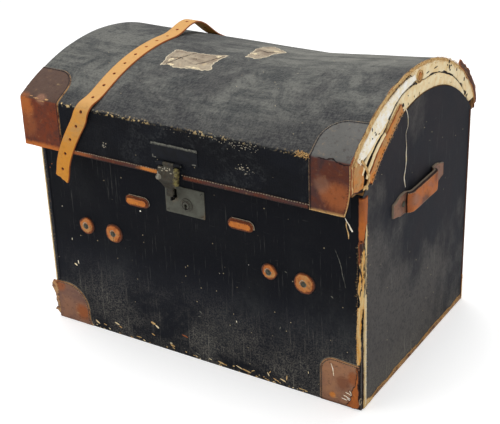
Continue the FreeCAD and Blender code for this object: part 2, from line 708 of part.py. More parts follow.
mount_ears = [box(-mount_width / 2, mount_width / 2, lid_front - mount_plate, lid_front, mount_low,
                  mount_low + mount_height)]
for a, b in ((hasp_x - hasp_half, hasp_x - hasp_neck - ear_gap),
             (hasp_x + hasp_neck + ear_gap, hasp_x + hasp_half)):
    web_low = hasp_axis_z + hasp_knuckle - mount_web
    web = box(a, b, hasp_axis_y, lid_front, web_low, web_low + mount_web)
    riser = box(a, b, lid_front - mount_plate, lid_front, web_low, mount_low)
    bored = hasp_rod(a - 1, b + 1, hasp_knuckle - knuckle_overlap)
    mount_ears.append(fuse([web.cut(bored), riser, hasp_ring(a, b, hasp_pin + contact_gap / 2)]))
parts["hasp_mount"] = fuse(mount_ears)
parts["hasp_pin"] = hasp_rod(hasp_x - hasp_half - pin_stands_out,
                             hasp_x + hasp_half + pin_stands_out, hasp_pin)

# The hasp is drawn pressed home, then swung forward to where it hangs.
home_swing = 9.0             # degrees between hanging and pressed home
plate_drop = 6.0             # the hasp's plate starts this far below its pin
plate_top = hasp_axis_z - plate_drop
hasp_left = 25.0             # the hasp's plate reaches this far to the left of its middle,
hasp_right = 16.0            # this far to the right,
hasp_low_left = 28.0         # and this far to the left at its bend
bend_drop = 3.0              # the bend lies this far below the lid's edge
bend_z = skirt_bottom - bend_drop
tip_left = 11.0              # the tongue's tip reaches this far to the left of the slot's middle
tip_right = 5.0              # and this far to the right
tip_top = 405.0              # the tongue reaches the lock plate here
tip_foot = 386.0
tip_gap = 0.8                # between the tongue and the lock plate
tip_y = plate_y - tip_gap
hang_y = hasp_axis_y - hasp_plate / 2
knob_radius = 4.6
knob_left = 21.0             # from the hasp's middle
knob_z = skirt_bottom + 1.0
knob_stands_out = 2.6


def slice_xy(x0, x1, y0, y1, z):
    """An upright flat ring of edges, the cross-section of the tongue at height z."""
    return Part.makePolygon([V(x0, y0, z), V(x1, y0, z), V(x1, y1, z), V(x0, y1, z), V(x0, y0, z)])


upper = extrude_xz([(hasp_x - hasp_left, plate_top), (hasp_x + hasp_right, plate_top),
                    (hasp_x + hasp_right, bend_z), (hasp_x - hasp_low_left, bend_z)],
                   hang_y, hang_y + hasp_plate)
neck = box(hasp_x - hasp_neck, hasp_x + hasp_neck, hang_y, hang_y + hasp_plate, plate_top - 1,
           hasp_axis_z)
neck = neck.cut(hasp_rod(hasp_x - hasp_half, hasp_x + hasp_half, hasp_knuckle - knuckle_overlap))
tongue = Part.makeLoft([
    slice_xy(hasp_x - hasp_low_left, hasp_x + hasp_right, hang_y, hang_y + hasp_plate, bend_z),
    slice_xy(slot_x - tip_left, slot_x + tip_right, tip_y - hasp_plate, tip_y, tip_top)], True, True)
tip = box(slot_x - tip_left, slot_x + tip_right, tip_y - hasp_plate, tip_y, tip_foot, tip_top)
knob = Part.makeSphere(knob_radius, V(hasp_x - knob_left, hang_y - knob_stands_out, knob_z))
knuckle_ring = hasp_ring(hasp_x - hasp_neck, hasp_x + hasp_neck, hasp_pin + running_fit)
hasp = fuse([upper, neck, knuckle_ring, tongue, tip, knob])

barrel_radius = 6.2
barrel_length = 34.0
barrel_right = 22.0          # from the hasp's middle
barrel_drop = 9.0            # the barrel starts this far below the lid's edge
barrel_x = hasp_x + barrel_right
barrel_foot = skirt_bottom - barrel_drop
barrel_grooves = (8.0, 17.0, 26.0)         # their distances from the barrel's foot
groove_width = 1.6
groove_depth = 0.8
barrel_y = hang_y + hasp_plate - barrel_radius
barrel = rod(V(barrel_x, barrel_y, barrel_foot), V(0, 0, 1), barrel_radius, barrel_length)
for rise in barrel_grooves:
    place = V(barrel_x, barrel_y, barrel_foot + rise)
    ring = rod(place, V(0, 0, 1), barrel_radius + 1, groove_width)
    barrel = barrel.cut(ring.cut(rod(place, V(0, 0, 1), barrel_radius - groove_depth, groove_width)))

staple_half = 1.5            # half the thickness of the staple
eye_wall = 2.2               # metal round the eye that the bolt enters
eye_half = bolt_size / 2 + 0.4
staple_reach = eye_half + eye_wall
staple = box(slot_x - staple_half, slot_x + staple_half, tip_y, bolt_y + staple_reach,
             bolt_z - staple_reach, bolt_z + staple_reach)
staple = staple.cut(bolt_section(slot_x - slot_width, slot_x + slot_width,
                                 eye_half - bolt_size / 2))


def hang(shape):
    """Swing a piece of the hasp from pressed home to where it hangs."""
    turned = shape.copy()
    turned.rotate(V(0, hasp_axis_y, hasp_axis_z), V(1, 0, 0), -home_swing)
    return turned


parts["hasp"] = hang(hasp)
parts["hasp_barrel"] = hang(barrel)
parts["hasp_staple"] = hang(staple)

# --- strap and labels -----------------------------------------------------------------------
strap_width = 34.0
strap_thickness = 3.2
strap_from_end = 173.0       # from the lid's left end to the strap's middle on the dome
strap_x = strap_from_end - half_lid
# middle of the strap as it falls in front of the lid and past its edge, from its end upwards, as
# (distance to the right of strap_x, height)
strap_fall = [(-83.0, 379.0), (-78.0, 406.0), (-67.0, 440.0), (-48.0, 477.0), (-27.0, 511.0),
              (-11.0, 535.0)]
crease_x = strap_x - 5.0     # middle of the strap at the lid's front crease
strap_stand = leather + clearance          # it falls clear of the leather on the skirt
strap_rest = 0.15            # and lies this close to the dome
strap_settle = 24.0          # it comes down onto the dome over this distance
strap_back_rise = 6.0        # the strap stops this far above the back skirt's lower edge
strap_back_end = back_skirt_bottom + strap_back_rise
strap_turn = 2.0             # it turns over the lid's front crease within this distance
strap_steps = 36             # straight pieces that its way over the dome is made of
hump_start = -10.0           # the strap lifts off the dome between these places
hump_end = 170.0
hump_height = 25.0
first_hole = 27.0            # from the strap's end
hole_pitch = 38.0
hole_radius = 2.4


def on_dome(y, lift):
    """Height of the dome's outer face at y, raised along its normal by lift."""
    yc, zc, radius = lid_arc(dome_sag)
    return zc + math.sqrt((radius + lift) ** 2 - (y - yc) ** 2)


def strap_line():
    """Middle line of the strap's under face, as (x, y, z), from its free end over to the back."""
    y_front = lid_front - strap_stand
    y_back = lid_back + strap_rest
    line = [(strap_x + x, y_front, z) for x, z in strap_fall]
    line.append((crease_x, y_front, on_dome(y_front, strap_stand) + strap_rest))
    first = lid_front + strap_turn
    last = lid_back - 1.0
    for i in range(strap_steps + 1):
        y = first + (last - first) * i / strap_steps
        settled = min(1.0, (y - first) / strap_settle)
        z = on_dome(y, strap_stand + (strap_rest - strap_stand) * settled)
        if hump_start < y < hump_end:
            share = (y - hump_start) / (hump_end - hump_start)
            z += hump_height * math.sin(math.pi * share) ** 2
        line.append((strap_x + (crease_x - strap_x) * (1 - settled), y, z))
    line.append((strap_x, y_back, on_dome(y_back, strap_rest)))
    line.append((strap_x, y_back, strap_back_end))
    return [V(*point) for point in line]


def section_at(line, i):
    """Cross-section of the strap square to its middle line at point i."""
    run = (line[min(i + 1, len(line) - 1)] - line[max(i - 1, 0)]).normalize()
    out = V(0, -run.z, run.y).normalize()
    side = run.cross(out) * (strap_width / 2)
    out = out * strap_thickness
    foot = line[i]
    return Part.makePolygon([foot - side, foot + side, foot + side + out, foot - side + out,
                             foot - side])


def strap_holes(line):
    """Punched holes along the middle of the strap, one every hole_pitch."""
    holes = []
    walked = first_hole
    for a, b in zip(line, line[1:]):
        step = b - a
        while walked < step.Length:
            place = a + step * (walked / step.Length)
            out = V(0, -step.z, step.y).normalize()
            holes.append(rod(place - out, out, hole_radius, strap_thickness + 2))
            walked += hole_pitch
        walked -= step.Length
    return holes


middle_line = strap_line()
sections = [section_at(middle_line, i) for i in range(len(middle_line))]
strap = Part.makeLoft(sections, True, True)
parts["travel_strap"] = strap.cut(strap_holes(middle_line))

label_thickness = 0.4
label_skin = lid_layer(-label_thickness, 0.0, half_lid)
large_label = [(-139, -107), (-141, -72), (-67, -71), (-20, -60), (-29, -103), (-17, -134),
               (-34, -141), (-99, -148), (-131, -146)]
small_label = [(3, 4), (4, 37), (20, 55), (71, 18), (55, -8), (54, -36), (37, -54), (14, -52)]


def label(outline):
    """What is left of a paper label, torn to the given (x, y) outline."""
    wire = Part.makePolygon([V(x, y, front_crease) for x, y in outline + outline[:1]])
    return label_skin.common(Part.Face(wire).extrude(V(0, 0, far)))


parts["paper_labels"] = Part.makeCompound([label(large_label), label(small_label)])

os.makedirs("parts", exist_ok=True)
for name, shape in parts.items():
    shape.exportStep("parts/%s.step" % name)
    print("%-26s solids %d, valid %s" % (name, len(shape.Solids), shape.isValid()))
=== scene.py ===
import bpy
import json
import math
import numpy as np
from mathutils import Matrix, Vector
from mathutils.geometry import delaunay_2d_cdt


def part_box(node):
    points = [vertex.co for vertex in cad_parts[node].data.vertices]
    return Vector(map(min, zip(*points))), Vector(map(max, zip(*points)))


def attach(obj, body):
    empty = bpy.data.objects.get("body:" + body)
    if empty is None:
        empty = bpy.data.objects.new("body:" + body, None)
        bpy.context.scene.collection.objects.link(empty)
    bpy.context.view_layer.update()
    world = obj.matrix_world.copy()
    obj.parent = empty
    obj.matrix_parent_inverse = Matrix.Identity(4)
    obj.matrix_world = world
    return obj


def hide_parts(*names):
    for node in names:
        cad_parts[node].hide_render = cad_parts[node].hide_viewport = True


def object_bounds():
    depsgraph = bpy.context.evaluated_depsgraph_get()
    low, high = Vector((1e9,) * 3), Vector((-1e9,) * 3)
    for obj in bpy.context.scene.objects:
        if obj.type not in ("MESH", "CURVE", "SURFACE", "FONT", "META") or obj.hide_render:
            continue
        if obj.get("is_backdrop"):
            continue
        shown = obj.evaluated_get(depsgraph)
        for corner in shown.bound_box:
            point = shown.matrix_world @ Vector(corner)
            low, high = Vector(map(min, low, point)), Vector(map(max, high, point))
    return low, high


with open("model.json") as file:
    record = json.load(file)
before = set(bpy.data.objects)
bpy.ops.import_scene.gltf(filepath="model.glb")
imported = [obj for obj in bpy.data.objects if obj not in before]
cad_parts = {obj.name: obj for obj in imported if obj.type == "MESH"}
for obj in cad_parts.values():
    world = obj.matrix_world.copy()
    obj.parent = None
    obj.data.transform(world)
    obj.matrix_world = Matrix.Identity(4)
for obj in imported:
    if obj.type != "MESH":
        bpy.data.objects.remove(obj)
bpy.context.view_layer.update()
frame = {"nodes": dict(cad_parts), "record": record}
nodes = frame["nodes"]
print("frame loaded:", len(nodes), "nodes")

# camera, lamps, floor and backdrop
studio = {
    "azimuth": 32.485, "elevation": 25.973, "roll": -2.031,    # degrees
    "place": (1.24948, -1.99721, 1.38820),
    "lens": 86.18, "sensor": 36,    # mm
    "ambient": 0.62,    # the room's even light
    "lamps": [    # place, what it points at, size in metres, watts
        ("overhead", (-0.3, 0.2, 2.6), (0, 0, 0.3), 1.8, 46),
        ("side", (-1.6, -2.2, 1.7), (0, -0.1, 0.3), 1.4, 16),
        ("low", (2.4, -0.9, 1.1), (0.3, 0, 0.3), 1.2, 7)],
    "floorSize": 9, "floorTone": 0.80, "floorGlow": 0.42,
}


def stand(thing):
    bpy.context.scene.collection.objects.link(thing)


def setCamera(s):
    azimuth, elevation, roll = (math.radians(s[k]) for k in ("azimuth", "elevation", "roll"))
    back = Vector((math.sin(azimuth) * math.cos(elevation), -math.cos(azimuth) * math.cos(elevation),
        math.sin(elevation)))
    right = Vector((0, 0, 1)).cross(back).normalized()
    up = back.cross(right)
    across = right * math.cos(roll) + up * math.sin(roll)
    upright = up * math.cos(roll) - right * math.sin(roll)
    camera = bpy.data.objects.new("camera", bpy.data.cameras.new("camera"))
    camera.data.lens, camera.data.sensor_width = s["lens"], s["sensor"]
    camera.matrix_world = Matrix((across, upright, back)).transposed().to_4x4()
    camera.location = s["place"]
    stand(camera)
    bpy.context.scene.camera = camera


def addLamp(name, place, aim, size, watts):
    lamp = bpy.data.objects.new(name, bpy.data.lights.new(name, "AREA"))
    lamp.data.size = size
    lamp.data.energy = watts
    lamp.location = place
    lamp.rotation_euler = (Vector(aim) - Vector(place)).to_track_quat("-Z", "Y").to_euler()
    stand(lamp)


def link(tree, source, target):
    tree.links.new(source, target)


class Tree:    # a tree of nodes that grows by a call for each
    def __init__(self, tree):
        self.tree = tree

    def add(self, kind, inputs=None, **settings):
        node = self.tree.nodes.new(kind)
        for key, value in settings.items():
            setattr(node, key, value)
        for key, value in (inputs or {}).items():
            if isinstance(value, bpy.types.NodeSocket):
                link(self.tree, value, node.inputs[key])
            else:
                node.inputs[key].default_value = value
        return node

    def out(self, kind, inputs=None, **settings):    # a new node's first output
        return self.add(kind, inputs, **settings).outputs[0]

    def sum(self, operation, first, second):
        return self.out("ShaderNodeMath", {0: first, 1: second}, operation=operation)

    def times(self, first, *others):
        for other in others:
            first = self.sum("MULTIPLY", first, other)
        return first

    def plus(self, first, second):
        return self.sum("ADD", first, second)


def lightRoom(s):
    world = bpy.data.worlds.new("room")
    bpy.context.scene.world = world
    world.use_nodes = True
    room = Tree(world.node_tree)
    path = room.add("ShaderNodeLightPath").outputs
    seen = room.sum("MAXIMUM", path["Is Camera Ray"], path["Is Transmission Ray"])
    sky = world.node_tree.nodes["Background"].inputs
    level = room.out("ShaderNodeMapRange", {"Value": seen, "To Min": s["ambient"], "To Max": 1})
    link(room.tree, level, sky["Strength"])
    sky["Color"].default_value = (1, 1, 1, 1)
    for lamp in s["lamps"]:
        addLamp(*lamp)


def layFloor(s):
    half = s["floorSize"] / 2
    mesh = bpy.data.meshes.new("floor")
    mesh.from_pydata([(-half, -half, 0), (half, -half, 0), (half, half, 0), (-half, half, 0)], [],
        [(0, 1, 2, 3)])
    floor = bpy.data.objects.new("floor", mesh)
    stand(floor)
    look = bpy.data.materials.new("floorPaper")
    look.use_nodes = True
    look.node_tree.nodes.clear()
    paper = Tree(look.node_tree)
    seen = paper.add("ShaderNodeLightPath").outputs["Is Camera Ray"]
    matt = paper.out("ShaderNodeBsdfDiffuse", {"Color": (s["floorTone"],) * 3 + (1,)})
    glow = paper.out("ShaderNodeEmission", {"Strength": paper.times(seen, s["floorGlow"])})
    both = paper.out("ShaderNodeAddShader", {0: matt, 1: glow})
    paper.add("ShaderNodeOutputMaterial", {"Surface": both})
    floor.data.materials.append(look)
    floor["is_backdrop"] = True


bpy.context.scene.view_settings.view_transform = "Standard"
setCamera(studio)
lightRoom(studio)
layFloor(studio)
print("studio ready")


# looks: a small builder for shader trees
def shade(red, green, blue):    # a colour as seen on screen, 0 to 255, as light
    levels = [c / 255 for c in (red, green, blue)]
    return tuple(c / 12.92 if c < 0.04045 else ((c + 0.055) / 1.055) ** 2.4 for c in levels) + (1,)


class Look(Tree):
    def __init__(self, name, shine):
        self.material = bpy.data.materials.new(name)
        self.material.use_nodes = True
        self.tree = self.material.node_tree
        self.shader = self.tree.nodes["Principled BSDF"]
        self.shader.inputs["Specular IOR Level"].default_value = shine
        source = self.add("ShaderNodeTexCoord")
        self.place, self.facing = source.outputs["Object"], source.outputs["Normal"]

    def stretch(self, x, y, z):
        return self.out("ShaderNodeMapping", {"Vector": self.place, "Scale": (x, y, z)})

    def noise(self, scale, source=None, detail=4, roughness=0.55, warp=0):
        return self.add("ShaderNodeTexNoise", {"Vector": source or self.place, "Scale": scale,
            "Detail": detail, "Roughness": roughness, "Distortion": warp}).outputs["Fac"]

    def cells(self, scale):
        return self.add("ShaderNodeTexVoronoi", {"Vector": self.place,
            "Scale": scale}).outputs["Distance"]

    def waves(self, scale, direction):
        return self.add("ShaderNodeTexWave", {"Vector": self.place, "Scale": scale, "Detail": 2,
            "Detail Scale": 2}, bands_direction=direction).outputs["Fac"]

    def named(self, name):
        return self.add("ShaderNodeAttribute", attribute_name=name).outputs["Fac"]

    def part(self, axis, source=None):
        return self.add("ShaderNodeSeparateXYZ", {0: source or self.place}).outputs[axis]

    def span(self, value, low, high, start=0, end=1):
        return self.out("ShaderNodeMapRange", {"Value": value, "From Min": low, "From Max": high,
            "To Min": start, "To Max": end}, interpolation_type="SMOOTHSTEP")

    def mix(self, share, first, second):    # of two tones, by name or from other nodes
        first, second = (tones[tone] if isinstance(tone, str) else tone for tone in (first, second))
        return self.add("ShaderNodeMix", {0: share, 6: first, 7: second}, data_type="RGBA").outputs[2]

    def laid(self, base, tone, *shares):    # a tone over base, as much as all the shares allow
        return self.mix(self.times(*shares), base, tone)

    def finish(self, colour, rough, *layers):    # the layers of relief are (height, depth in metres)
        link(self.tree, colour, self.shader.inputs["Base Color"])
        link(self.tree, rough, self.shader.inputs["Roughness"])
        normal = None
        for height, depth in layers:
            inputs = {"Height": height, "Distance": depth, "Strength": 1}
            if normal:
                inputs["Normal"] = normal
            normal = self.out("ShaderNodeBump", inputs)
        link(self.tree, normal, self.shader.inputs["Normal"])
        return self


tones = {name: shade(*levels) for name, levels in {
    "night": (25, 27, 33), "ink": (31, 33, 40), "soot": (15, 16, 20), "char": (42, 42, 46),
    "slate": (58, 60, 61), "dust": (126, 125, 118), "haze": (84, 83, 80), "worn": (98, 98, 94),
    "mist": (92, 89, 86), "smoke": (50, 48, 52), "bark": (46, 28, 24), "plum": (66, 40, 38),
    "umber": (84, 50, 36), "mauve": (112, 80, 68), "clay": (138, 98, 76), "hide": (110, 56, 30),
    "cocoa": (75, 55, 45), "skin": (160, 114, 82), "zinc": (98, 99, 90), "tea": (98, 84, 64),
    "gleam": (150, 141, 128), "slip": (188, 176, 152), "fawn": (186, 140, 80), "rust": (150, 82, 40),
    "ember": (184, 102, 40), "amber": (204, 124, 50), "tan": (184, 138, 84), "honey": (210, 146, 60),
    "sand": (190, 148, 98), "straw": (218, 188, 132), "cream": (226, 208, 168),
    "linen": (240, 235, 224), "grime": (60, 50, 38), "pewter": (116, 116, 104),
    "verdigris": (94, 97, 86), "lead": (76, 75, 66), "russet": (116, 50, 20), "sienna": (90, 42, 24),
    "gold": (202, 134, 40), "bone": (246, 230, 192), "oat": (238, 208, 154), "chalk": (255, 252, 244),
    "dirt": (112, 108, 100), "olive": (136, 126, 76), "iron": (48, 46, 42), "paper": (158, 146, 126),
    "stain": (122, 108, 92), "wood": (120, 86, 54), "cotton": (176, 162, 136),
}.items()}


def canvasLook(name, ground, worn, fogFrom, fogTone, scratched, rubTop, paintedShadeFrom):    # coated, scuffed
    look = Look(name, 0.07)
    cloud = look.noise(7, None, 7, 0.7, 0.4)
    drift = look.noise(3.4, look.stretch(1, 1, 0.7), 6, 0.62)
    grain = look.noise(170, roughness=0.7)
    upright = look.noise(1, look.stretch(230, 230, 10), roughness=0.75)
    across = look.noise(1, look.stretch(26, 26, 280), 3, 0.7)
    height = look.part("Z")
    base = look.mix(look.span(cloud, 0.36, 0.66), ground, worn)
    base = look.laid(base, fogTone, look.span(drift, fogFrom, fogFrom + 0.15),
        look.span(grain, 0.15, 0.60), 0.8)
    # painted shade: the upper part of the face darkens towards soot, standing in for the shade under
    # the lid
    base = look.laid(base, "soot", look.span(height, paintedShadeFrom, paintedShadeFrom + 0.12), 0.75)
    hatch = look.plus(look.span(look.noise(420, detail=2), 0.35, 0.75), look.span(upright, 0.55, 0.70))
    base = look.laid(base, "dirt", look.span(height, rubTop, 0.02), hatch,
        look.span(cloud, 0.35, 0.6), 0.85)
    for lines, low, share in ((upright, 0.60, scratched), (across, 0.66, scratched * 0.7)):
        base = look.laid(base, "dust", look.span(lines, low, low + 0.12), share)
    base = look.laid(base, "cream", look.span(look.cells(52), 0.070, 0.030),
        look.span(look.noise(8, detail=2), 0.46, 0.54), 0.75)
    weave = look.plus(look.waves(230, "X"), look.waves(230, "Z"))
    return look.finish(base, look.span(cloud, 0.3, 0.7, 0.55, 0.75), (weave, 0.00012), (grain, 0.0004),
        (upright, 0.0002))


def lidLook():    # coated canvas worn grey over the dome, its grey top partly painted sheen
    look = Look("lidCanvasWorn", 0.08)
    span = look.span
    up = look.part("Z", look.facing)
    cloud = look.noise(4.6, None, 8, 0.72, 0.5)
    blotch = look.noise(12, None, 7, 0.72, 0.9)
    grain = look.noise(210, roughness=0.7)
    streaks = look.noise(1, look.stretch(3.4, 40, 40), 7, 0.72)
    warp = look.noise(1, look.stretch(90, 460, 460), 2)
    weft = look.noise(1, look.stretch(460, 90, 90), 2)
    front = look.mix(span(cloud, 0.35, 0.7), "soot", "night")
    front = look.laid(front, "slate", span(blotch, 0.46, 0.62), span(grain, 0.42, 0.60),
        span(look.part("X"), -0.22, -0.02, 0.1, 0.6))
    mottle = look.plus(look.times(streaks, 0.35), look.times(blotch, 0.65))
    top = look.mix(span(mottle, 0.42, 0.58), "slate", "worn")
    top = look.laid(top, "char", span(cloud, 0.52, 0.40), 0.70)
    # painted shade: darker where the dome turns down towards the crease
    top = look.laid(top, "char", span(up, 0.93, 0.86), span(cloud, 0.38, 0.58, 0.45, 0.95))
    threads = look.plus(span(warp, 0.42, 0.62), span(weft, 0.42, 0.62))
    top = look.laid(top, "dust", threads, 0.13)
    top = look.laid(top, "soot", span(grain, 0.52, 0.36), 0.35)
    # lighter towards the back and the right of the dome
    top = look.laid(top, "dust", span(look.part("Y"), -0.10, 0.06), span(look.part("X"), -0.25, 0.25),
        span(streaks, 0.36, 0.62, 0.15, 0.85))
    # the dark front and the grey top meet by which way the surface faces: the grey is wear and painted
    # sheen from the light above
    base = look.mix(span(up, 0.30, 0.80), front, top)
    chafed = look.mix(span(look.noise(34), 0.46, 0.56), "pewter", "straw")
    base = look.laid(base, chafed, span(look.named("crease"), 0.42, 0.72),
        span(look.noise(190, detail=5), 0.52, 0.60), span(look.noise(10), 0.38, 0.56, 0.1, 0.8))
    base = look.laid(base, "cream", span(look.cells(60), 0.075, 0.030),
        span(look.noise(9, detail=2), 0.50, 0.60), 0.6)
    frayed = look.mix(span(look.noise(95), 0.44, 0.62), "rust", "straw")
    frayed = look.mix(span(look.part("Z"), 0.52, 0.58, 0, 0.6), frayed, "tan")
    return look.finish(look.mix(look.named("raw"), base, frayed), span(cloud, 0.3, 0.7, 0.55, 0.75),
        (threads, 0.0003), (grain, 0.0004), (streaks, 0.0003))


# Leather takes its colour up to its edge from one pair of tones, and what wear has done to it
# as places (point, radius, tone, share) and bands (axis, from, to, tone).
def leatherLook(name, middle, dark, rim=None, rimWidth=0.003, gloss=0.50, seamed=False, up=None,
        places=(), bands=(), pale=0.30, grimy=0.45):
    look = Look(name, 0.22)
    span = look.span
    cloud = look.noise(24, None, 7, 0.7, 0.6)
    mottle = look.noise(95, None, 5, 0.72)
    pores = look.cells(520)
    drift = look.times(look.sum("SUBTRACT", cloud, 0.5), 0.9)
    base = look.mix(span(cloud, 0.36, 0.64), dark, middle)
    # upward-facing surfaces take the up tone: partly wear, partly painted light from above
    if up:
        rise = look.plus(look.part("Z", look.facing), look.times(drift, 0.8))
        base = look.mix(span(rise, 0.30, 0.62), base, up)
    for point, radius, tone, share in places:
        away = look.add("ShaderNodeVectorMath", {0: look.place, 1: point},
            operation="DISTANCE").outputs[1]
        away = look.plus(away, look.times(drift, radius * 1.6))
        base = look.laid(base, tone, span(away, radius, radius * 0.4), share)
    for axis, first, last, tone in bands:
        along = look.plus(look.part(axis), look.times(drift, (last - first) * 1.2))
        base = look.mix(span(along, first, last), base, tone)
    base = look.laid(base, "sand", span(mottle, 0.56, 0.72), pale)
    base = look.laid(base, "bark", span(mottle, 0.46, 0.34), grimy)
    if rim:
        edge = look.plus(look.named("edge"), look.times(drift, rimWidth))
        base = look.mix(span(edge, rimWidth, rimWidth * 0.3), base, rim)
    if seamed:
        seam = look.named("seam")
        base = look.laid(base, "sand", span(seam, 0.0013, 0.0006), span(mottle, 0.42, 0.54), 0.7)
        # painted shade: a dark line in the pressed groove beside the seam
        groove = look.sum("ABSOLUTE", look.sum("SUBTRACT", seam, 0.0030), 0)
        base = look.laid(base, "soot", span(groove, 0.0016, 0.0005), 0.85)
    scratch = span(look.noise(1, look.stretch(30, 30, 240), 3), 0.68, 0.74)
    base = look.laid(base, "straw", scratch, pale)
    return look.finish(base, span(cloud, 0.3, 0.7, gloss, gloss + 0.22), (pores, 0.0002),
        (cloud, 0.0007), (mottle, 0.0003))


def plainLook(name, first, second, scale, low=0.6, high=0.85, depth=0.0003, grain=(1, 1, 1),
        third=None):
    look = Look(name, 0.15)
    cloud = look.noise(1, look.stretch(*(scale * g for g in grain)), 6, 0.68)
    base = look.mix(look.span(cloud, 0.35, 0.65), first, second)
    if third:
        spots = look.noise(1, look.stretch(*(scale * 0.6 * g for g in grain)), 7, 0.75, 1)
        base = look.mix(look.span(spots, 0.57, 0.68), base, third)
    return look.finish(base, look.span(cloud, 0.3, 0.7, low, high), (cloud, depth),
        (look.noise(scale * 9, detail=2), depth / 2))


def metalLook(name, clean, dull, stain, scale, polish=0.45, stained=0.60):
    look = Look(name, 0.35)
    cloud = look.noise(scale, None, 6, 0.7)
    spots = look.noise(scale * 0.45, None, 5, 0.7)
    base = look.mix(look.span(cloud, 0.35, 0.65), dull, clean)
    base = look.mix(look.span(spots, stained, stained + 0.14), base, stain)
    link(look.tree, look.span(spots, 0.50, 0.70, 0.55, 0.15), look.shader.inputs["Metallic"])
    return look.finish(base, look.span(cloud, 0.3, 0.7, polish, polish + 0.25), (cloud, 0.0002),
        (look.noise(scale * 7, detail=3), 0.0001))


